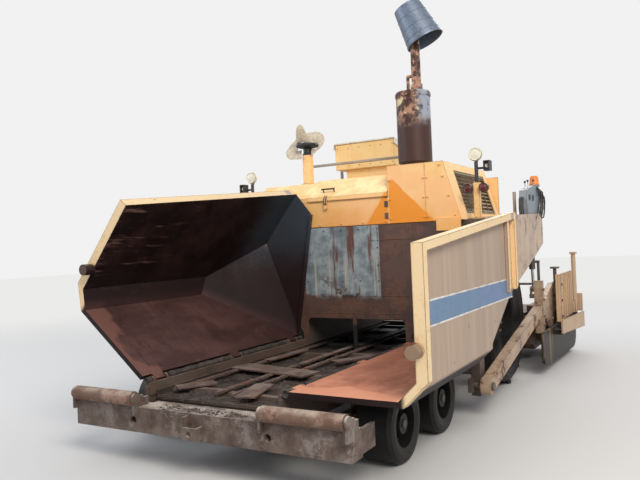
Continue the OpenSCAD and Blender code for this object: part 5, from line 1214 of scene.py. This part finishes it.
def build_chair():
    """Operator's chair: pedestal, shell, padded seat and back with piping."""
    low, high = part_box("operator_chair")
    x, base = (low.x + high.x) / 2, low.z
    front = low.y
    seat_y = front + 0.230
    frame_parts = [
        revolve([(0, 0), (0.13, 0), (0.135, 0.012), (0.075, 0.02), (0.058, 0.04), (0.058, 0.31),
                 (0.085, 0.32), (0.085, 0.327), (0, 0.327)], (x, seat_y, base), (0, 0, 1), 40),
        boxes([((x, seat_y, base + 0.335), (0.34, 0.36, 0.018), None),
               ((x, seat_y + 0.235, base + 0.43), (0.16, 0.012, 0.20), tilt_x(-8)),
               ((x - 0.145, seat_y, base + 0.012), (0.03, 0.30, 0.020), None),
               ((x + 0.145, seat_y, base + 0.012), (0.03, 0.30, 0.020), None)])]
    base_piece = solid("chair_base", merged(frame_parts), "black_plastic", "machine",
                       smooth=False, bevel=0.003)
    shell = rounded_pad((x, seat_y, base + 0.362), (0.455, 0.455, 0.050), crown=0.0, power=5)
    back_turn = tilt_x(78)
    back_at = (x, seat_y + 0.262, base + 0.655)
    back_shell = rounded_pad((back_at[0], back_at[1] + 0.032, back_at[2] + 0.004), (0.43, 0.46, 0.035),
                             back_turn, crown=0.2, power=4)
    solid("chair_shell", merged([shell, back_shell]), "black_plastic", "machine")
    padding = rounded_pad((x, seat_y, base + 0.392), (0.448, 0.448, 0.085), crown=0.28, power=4.5,
                          rows=33, cols=72, channels=5, sink=0.007)
    cushion = solid("chair_seat_pad", padding, "black_vinyl", "machine")
    padding = rounded_pad(back_at, (0.42, 0.45, 0.085), back_turn, crown=0.28, power=4, rows=33,
                          cols=72, channels=4, sink=0.007)
    back = solid("chair_back_pad", padding, "black_vinyl", "machine")
    # Piping round both pads, following their widest line
    angle = around(72)
    ring = np.stack([np.sign(np.cos(angle)) * np.abs(np.cos(angle)) ** 0.45,
                     np.sign(np.sin(angle)) * np.abs(np.sin(angle)) ** 0.45, np.zeros(72)], 1)
    seat_ring = ring * np.array([0.225, 0.225, 0]) + np.array([x, seat_y, base + 0.390])
    back_ring = (ring * np.array([0.211, 0.226, 0])) @ back_turn.T + np.array(back_at)
    solid("chair_piping", merged([sweep(seat_ring, 0.005, 6, True), sweep(back_ring, 0.005, 6, True)]),
          "black_plastic", "machine")
    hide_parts("operator_chair")


def build_hat():
    """Straw hat jammed over the rear of the pre-cleaner: woven pointed crown, torn flat brim.

    Crown and brim are one profile turned about the hat's axis. The brim is torn open where the
    pre-cleaner's dish and neck pass through it, so those faces are left out.
    """
    low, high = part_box("intake_hat")
    turns, steps = 44, 144
    profile = np.array([(0.004, 0.262), (0.016, 0.257), (0.032, 0.236), (0.046, 0.198), (0.058, 0.150),
                        (0.068, 0.100), (0.075, 0.052), (0.078, 0.022), (0.086, 0.006), (0.110, 0.000),
                        (0.145, 0.002), (0.185, 0.003), (0.222, 0.000), (0.240, -0.006)])
    along = np.linspace(0, len(profile) - 1, turns)
    radius = np.interp(along, np.arange(len(profile)), profile[:, 0])
    height = np.interp(along, np.arange(len(profile)), profile[:, 1])
    angle = around(steps)
    brim = np.clip((radius - 0.10) / 0.14, 0, 1)[:, None]
    wave = brim * (0.010 * np.sin(2 * angle + 0.7) + 0.005 * np.sin(5 * angle)
                   + 0.003 * np.sin(11 * angle + 2))
    dent = (1 - brim) * 0.004 * np.sin(3 * angle + 1.0) * np.sin(along * 0.5)[:, None]
    weave = 0.0018 * (np.arange(turns) % 2)[:, None]
    r = radius[:, None] * (1 - 0.03 * brim * np.sin(3 * angle)) + weave + dent
    crooked = 0.055 * (np.clip(height, 0, 1) / 0.26) ** 1.6
    local = np.stack([r * np.cos(angle) + crooked[:, None], r * np.sin(angle),
                      height[:, None] + wave], -1).reshape(-1, 3)
    # The hat leans forwards, and its brim rises towards the machine's left
    across, upward = np.array([0.803, 0.391, 0.449]), np.array([-0.024, -0.732, 0.680])
    across /= np.linalg.norm(across)
    upward -= across * (upward @ across)
    upward /= np.linalg.norm(upward)
    side, ahead = np.array([0.864, 0.503, 0.0]), np.array([0.503, -0.864, 0.0])
    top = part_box("intake")[1].z
    axis = np.array([(low.x + high.x) / 2, (low.y + high.y) / 2, top])
    place = axis - 0.100 * ahead - 0.016 * side + np.array([0, 0, -0.012])
    points = local @ np.stack([across, np.cross(upward, across), upward]) + place
    sideways, forwards, drop = (points - axis) @ side, (points - axis) @ ahead, points[:, 2] - top
    dish = (np.hypot(sideways, forwards) < 0.128) | ((forwards > 0) & (np.abs(sideways) < 0.112))
    neck = (np.abs(sideways) < 0.050) & (forwards > -0.055)
    torn = (dish & (drop < 0.003) & (drop > -0.074)) | (neck & (drop <= -0.074))
    faces = grid_faces(turns, steps, close_cols=True)
    faces = faces[~torn[faces].any(1)]
    used, faces = np.unique(faces, return_inverse=True)
    hat = solid("straw_hat", (points[used], faces.reshape(-1, 4)), "straw", "machine")
    thick = hat.modifiers.new("Straw", "SOLIDIFY")
    thick.thickness = 0.004
    thick.offset = 0
    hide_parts("intake_hat")


def build_tar():
    """Crust of old asphalt: lumps thrown over deck and beam by a seeded generator."""
    rng = np.random.default_rng(SEED)
    ball = np.array([[1, 0, 0], [-1, 0, 0], [0, 1, 0], [0, -1, 0], [0, 0, 1], [0, 0, -1]], float)
    mid = [(ball[a] + ball[b]) for a, b in ((0, 2), (2, 1), (1, 3), (3, 0), (0, 4), (2, 4), (1, 4), (3, 4))]
    points = np.concatenate([ball, np.array(mid) / np.linalg.norm(mid, axis=1, keepdims=True)])
    faces = [[4, 10, 11], [4, 11, 12], [4, 12, 13], [4, 13, 10], [10, 0, 6], [10, 6, 11], [11, 6, 2],
             [11, 2, 7], [11, 7, 12], [12, 7, 1], [12, 1, 8], [12, 8, 13], [13, 8, 3], [13, 3, 9],
             [13, 9, 10], [10, 9, 0], [0, 6, 5], [6, 2, 5], [2, 7, 5], [7, 1, 5], [1, 8, 5],
             [8, 3, 5], [3, 9, 5], [9, 0, 5]]

    def lumps(name, count, low, high, level, small, large):
        """Lumps spread over a rectangle at one level, flattened and turned at random."""
        place = rng.uniform(low, high, (count, 2))
        size = small + (large - small) * rng.power(0.5, count) ** 2
        all_points, all_faces = [], []
        for i in range(count):
            shape = points * (1 + rng.uniform(-0.3, 0.3, (len(points), 1)))
            shape = shape * np.array([1, rng.uniform(0.6, 1), rng.uniform(0.35, 0.6)]) * size[i]
            a = rng.uniform(0, math.pi)
            all_points.append(shape @ turn_z(a).T + np.array([place[i, 0], at(place[i, 1]), level]))
            all_faces += [[k + i * len(points) for k in f] for f in faces]
        solid(name, (np.concatenate(all_points), all_faces), "tar_lumps", "machine")

    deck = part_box("conveyor_deck")[0].z + 0.022
    lumps("crust_deck_l", 420, (0.10, 0.24), (0.56, 2.45), deck, 0.004, 0.030)
    lumps("crust_deck_r", 420, (-0.56, 0.24), (-0.10, 2.45), deck, 0.004, 0.030)
    lumps("crust_deck_mid", 260, (-0.12, 0.24), (0.12, 2.45), deck, 0.004, 0.022)
    beam_top, beam_ledge = 0.467, 0.502
    lumps("crust_beam", 260, (-0.40, 0.02), (0.42, 0.14), beam_top, 0.004, 0.016)
    lumps("crust_beam_rear", 120, (-0.62, 0.15), (0.62, 0.34), beam_ledge, 0.004, 0.018)


# The stage

def build_stage():
    """Camera, floor, backdrop and three lights."""
    scene = bpy.context.scene
    stage = scene.paver_stage
    x, distance, z = stage.camera_place
    turn, rise, roll = stage.camera_turn, stage.camera_rise, stage.camera_roll
    ahead = Vector((-math.sin(turn) * math.cos(rise), math.cos(turn) * math.cos(rise), math.sin(rise)))
    level = Vector((math.cos(turn), math.sin(turn), 0))
    above = level.cross(ahead)
    right = level * math.cos(roll) - above * math.sin(roll)
    up = level * math.sin(roll) + above * math.cos(roll)
    lens = bpy.data.cameras.new("camera")
    lens.sensor_width = 36
    lens.lens = stage.focal_pixels / 640 * lens.sensor_width
    lens.clip_end = 200
    camera = bpy.data.objects.new("camera", lens)
    turned = Matrix((right, up, -ahead)).transposed().to_4x4()
    camera.matrix_world = Matrix.Translation((x, at(distance), z)) @ turned
    scene.collection.objects.link(camera)
    scene.camera = camera

    floor_points = np.array([[-40, -40, 0], [40, -40, 0], [40, 40, 0], [-40, 40, 0]], float)
    mesh = bpy.data.meshes.new("floor")
    mesh.from_pydata(floor_points.tolist(), [], [[0, 1, 2, 3]])
    floor = bpy.data.objects.new("floor", mesh)
    scene.collection.objects.link(floor)
    made, tree, shader = fresh("floor")
    shader["Base Color"].default_value = (0.62, 0.61, 0.59, 1)
    shader["Roughness"].default_value = 0.9
    # The far floor pales into the backdrop for the eye alone; its light on the machine stays
    coord = put(tree, "ShaderNodeTexCoord").outputs["Object"]
    away = put(tree, "ShaderNodeVectorMath", {0: coord}, operation="LENGTH").outputs["Value"]
    eye = put(tree, "ShaderNodeLightPath").outputs["Is Camera Ray"]
    glow = put(tree, "ShaderNodeEmission", {"Color": (0.90, 0.90, 0.89, 1), "Strength": 0.92})
    out = [node for node in tree.nodes if node.type == "OUTPUT_MATERIAL"][0]
    face = out.inputs["Surface"].links[0].from_socket
    fade = all_of(tree, eye, ramp(tree, away, 3.5, 13.0))
    blend = put(tree, "ShaderNodeMixShader", {0: fade, 1: face, 2: glow.outputs[0]})
    tree.links.new(blend.outputs[0], out.inputs["Surface"])
    mesh.materials.append(made)

    world = bpy.data.worlds.new("studio")
    scene.world = world
    world.use_nodes = True
    tree = world.node_tree
    tree.nodes.clear()
    path = put(tree, "ShaderNodeLightPath").outputs
    seen = any_of(tree, *(path[f"Is {kind} Ray"] for kind in ("Camera", "Glossy", "Transmission")))
    lamp = put(tree, "ShaderNodeBackground", {"Color": (0.86, 0.90, 1.0, 1),
                                              "Strength": 0.62 * stage.light})
    shown = put(tree, "ShaderNodeBackground", {"Color": (0.93, 0.93, 0.93, 1), "Strength": 0.95})
    both = put(tree, "ShaderNodeMixShader", {0: seen, 1: lamp.outputs[0], 2: shown.outputs[0]})
    out = put(tree, "ShaderNodeOutputWorld")
    tree.links.new(both.outputs[0], out.inputs[0])

    def panel(name, place, aim, size, watts, colour):
        light = bpy.data.lights.new(name, "AREA")
        light.shape = "RECTANGLE"
        light.size, light.size_y = size
        light.energy = watts * stage.light
        light.color = colour
        thing = bpy.data.objects.new(name, light)
        thing.location = place
        thing.rotation_euler = (Vector(aim) - Vector(place)).to_track_quat("-Z", "Y").to_euler()
        scene.collection.objects.link(thing)

    panel("key", (7.5, -8.0, 8.5), (0, 0, 1.2), (5, 5), 1150, (1.0, 0.95, 0.88))
    panel("fill", (-9, -5, 6), (0, 0, 1.2), (6, 6), 380, (0.88, 0.93, 1.0))
    panel("back", (1, 9.5, 8), (0, 0, 1.5), (8, 4), 520, (1, 1, 1))


def operator(name, label, text, work):
    """An operator class that runs one building step."""
    def execute(self, context):
        work()
        return {"FINISHED"}
    return type("PAVER_OT_" + name, (bpy.types.Operator,), {
        "bl_idname": "paver." + name, "bl_label": label, "__doc__": text, "execute": execute})


STEPS = [
    operator("materials", "Finishes", "Builds every finish of the paver", build_materials),
    operator("dress", "Dress the CAD nodes", "Gives each CAD node its finish", dress_nodes),
    operator("wings", "Wing trim", "Stripe and borders of the wings", build_wing_trim),
    operator("wheels", "Wheel trim", "Nuts and rings of the wheels", build_wheel_trim),
    operator("chair", "Chair", "Operator's chair with padded seat and back", build_chair),
    operator("hat", "Hat", "Straw hat over the air intake", build_hat),
    operator("lamps", "Lamp lenses", "Lenses of all lamps", build_lamps),
    operator("grille_mesh", "Grille mesh", "Expanded mesh over the left grille", build_grille_mesh),
    operator("wall_trim", "Back wall trim", "Seams and rivets of the back wall", build_wall_trim),
    operator("hood_trim", "Hood trim", "Bolts and hinges of the hood", build_hood_trim),
    operator("pail_trim", "Pail hoops", "Rolled hoops of the pail", build_pail_trim),
    operator("treads", "Tread plates", "Raised bars of deck and walkways", build_treads),
    operator("hinge_crust", "Hinge crust", "Packed asphalt along the wing hinges", build_hinge_crust),
    operator("chain_pins", "Chain pins", "Pins of the conveyor chains", build_chain_pins),
    operator("gate_trim", "Gate trim", "Nuts and bolts of gates and tow arms", build_gate_trim),
    operator("console_trim", "Console trim", "Levers, dials, conduits and pipes", build_console_trim),
    operator("tar", "Tar", "Lumps of old asphalt on deck and beam", build_tar),
    operator("stage", "Stage", "Camera, floor and lights", build_stage),
]


class PAVER_PT_panel(bpy.types.Panel):
    """Lists the paver's building steps and values."""
    bl_label = "Paver"
    bl_idname = "PAVER_PT_panel"
    bl_space_type = "VIEW_3D"
    bl_region_type = "UI"
    bl_category = "Paver"

    def draw(self, context):
        scene = context.scene
        for step in STEPS:
            self.layout.operator(step.bl_idname)
        for owner in (scene.paver_finish, scene.paver_sizes, scene.paver_stage):
            for key in owner.__annotations__:
                self.layout.prop(owner, key)


CLASSES = [PaverFinish, PaverSizes, PaverStage, *STEPS, PAVER_PT_panel]


def register():
    for kind in CLASSES:
        bpy.utils.register_class(kind)
    bpy.types.Scene.paver_finish = bpy.props.PointerProperty(type=PaverFinish)
    bpy.types.Scene.paver_sizes = bpy.props.PointerProperty(type=PaverSizes)
    bpy.types.Scene.paver_stage = bpy.props.PointerProperty(type=PaverStage)


def unregister():
    del bpy.types.Scene.paver_finish, bpy.types.Scene.paver_sizes, bpy.types.Scene.paver_stage
    for kind in reversed(CLASSES):
        bpy.utils.unregister_class(kind)


def main():
    """Runs every step and writes the two boxes."""
    scene = bpy.context.scene
    scene.view_settings.view_transform = "Standard"
    register()
    for step in STEPS:
        getattr(bpy.ops.paver, step.bl_idname.split(".")[1])()


if __name__ == "__main__":
    main()
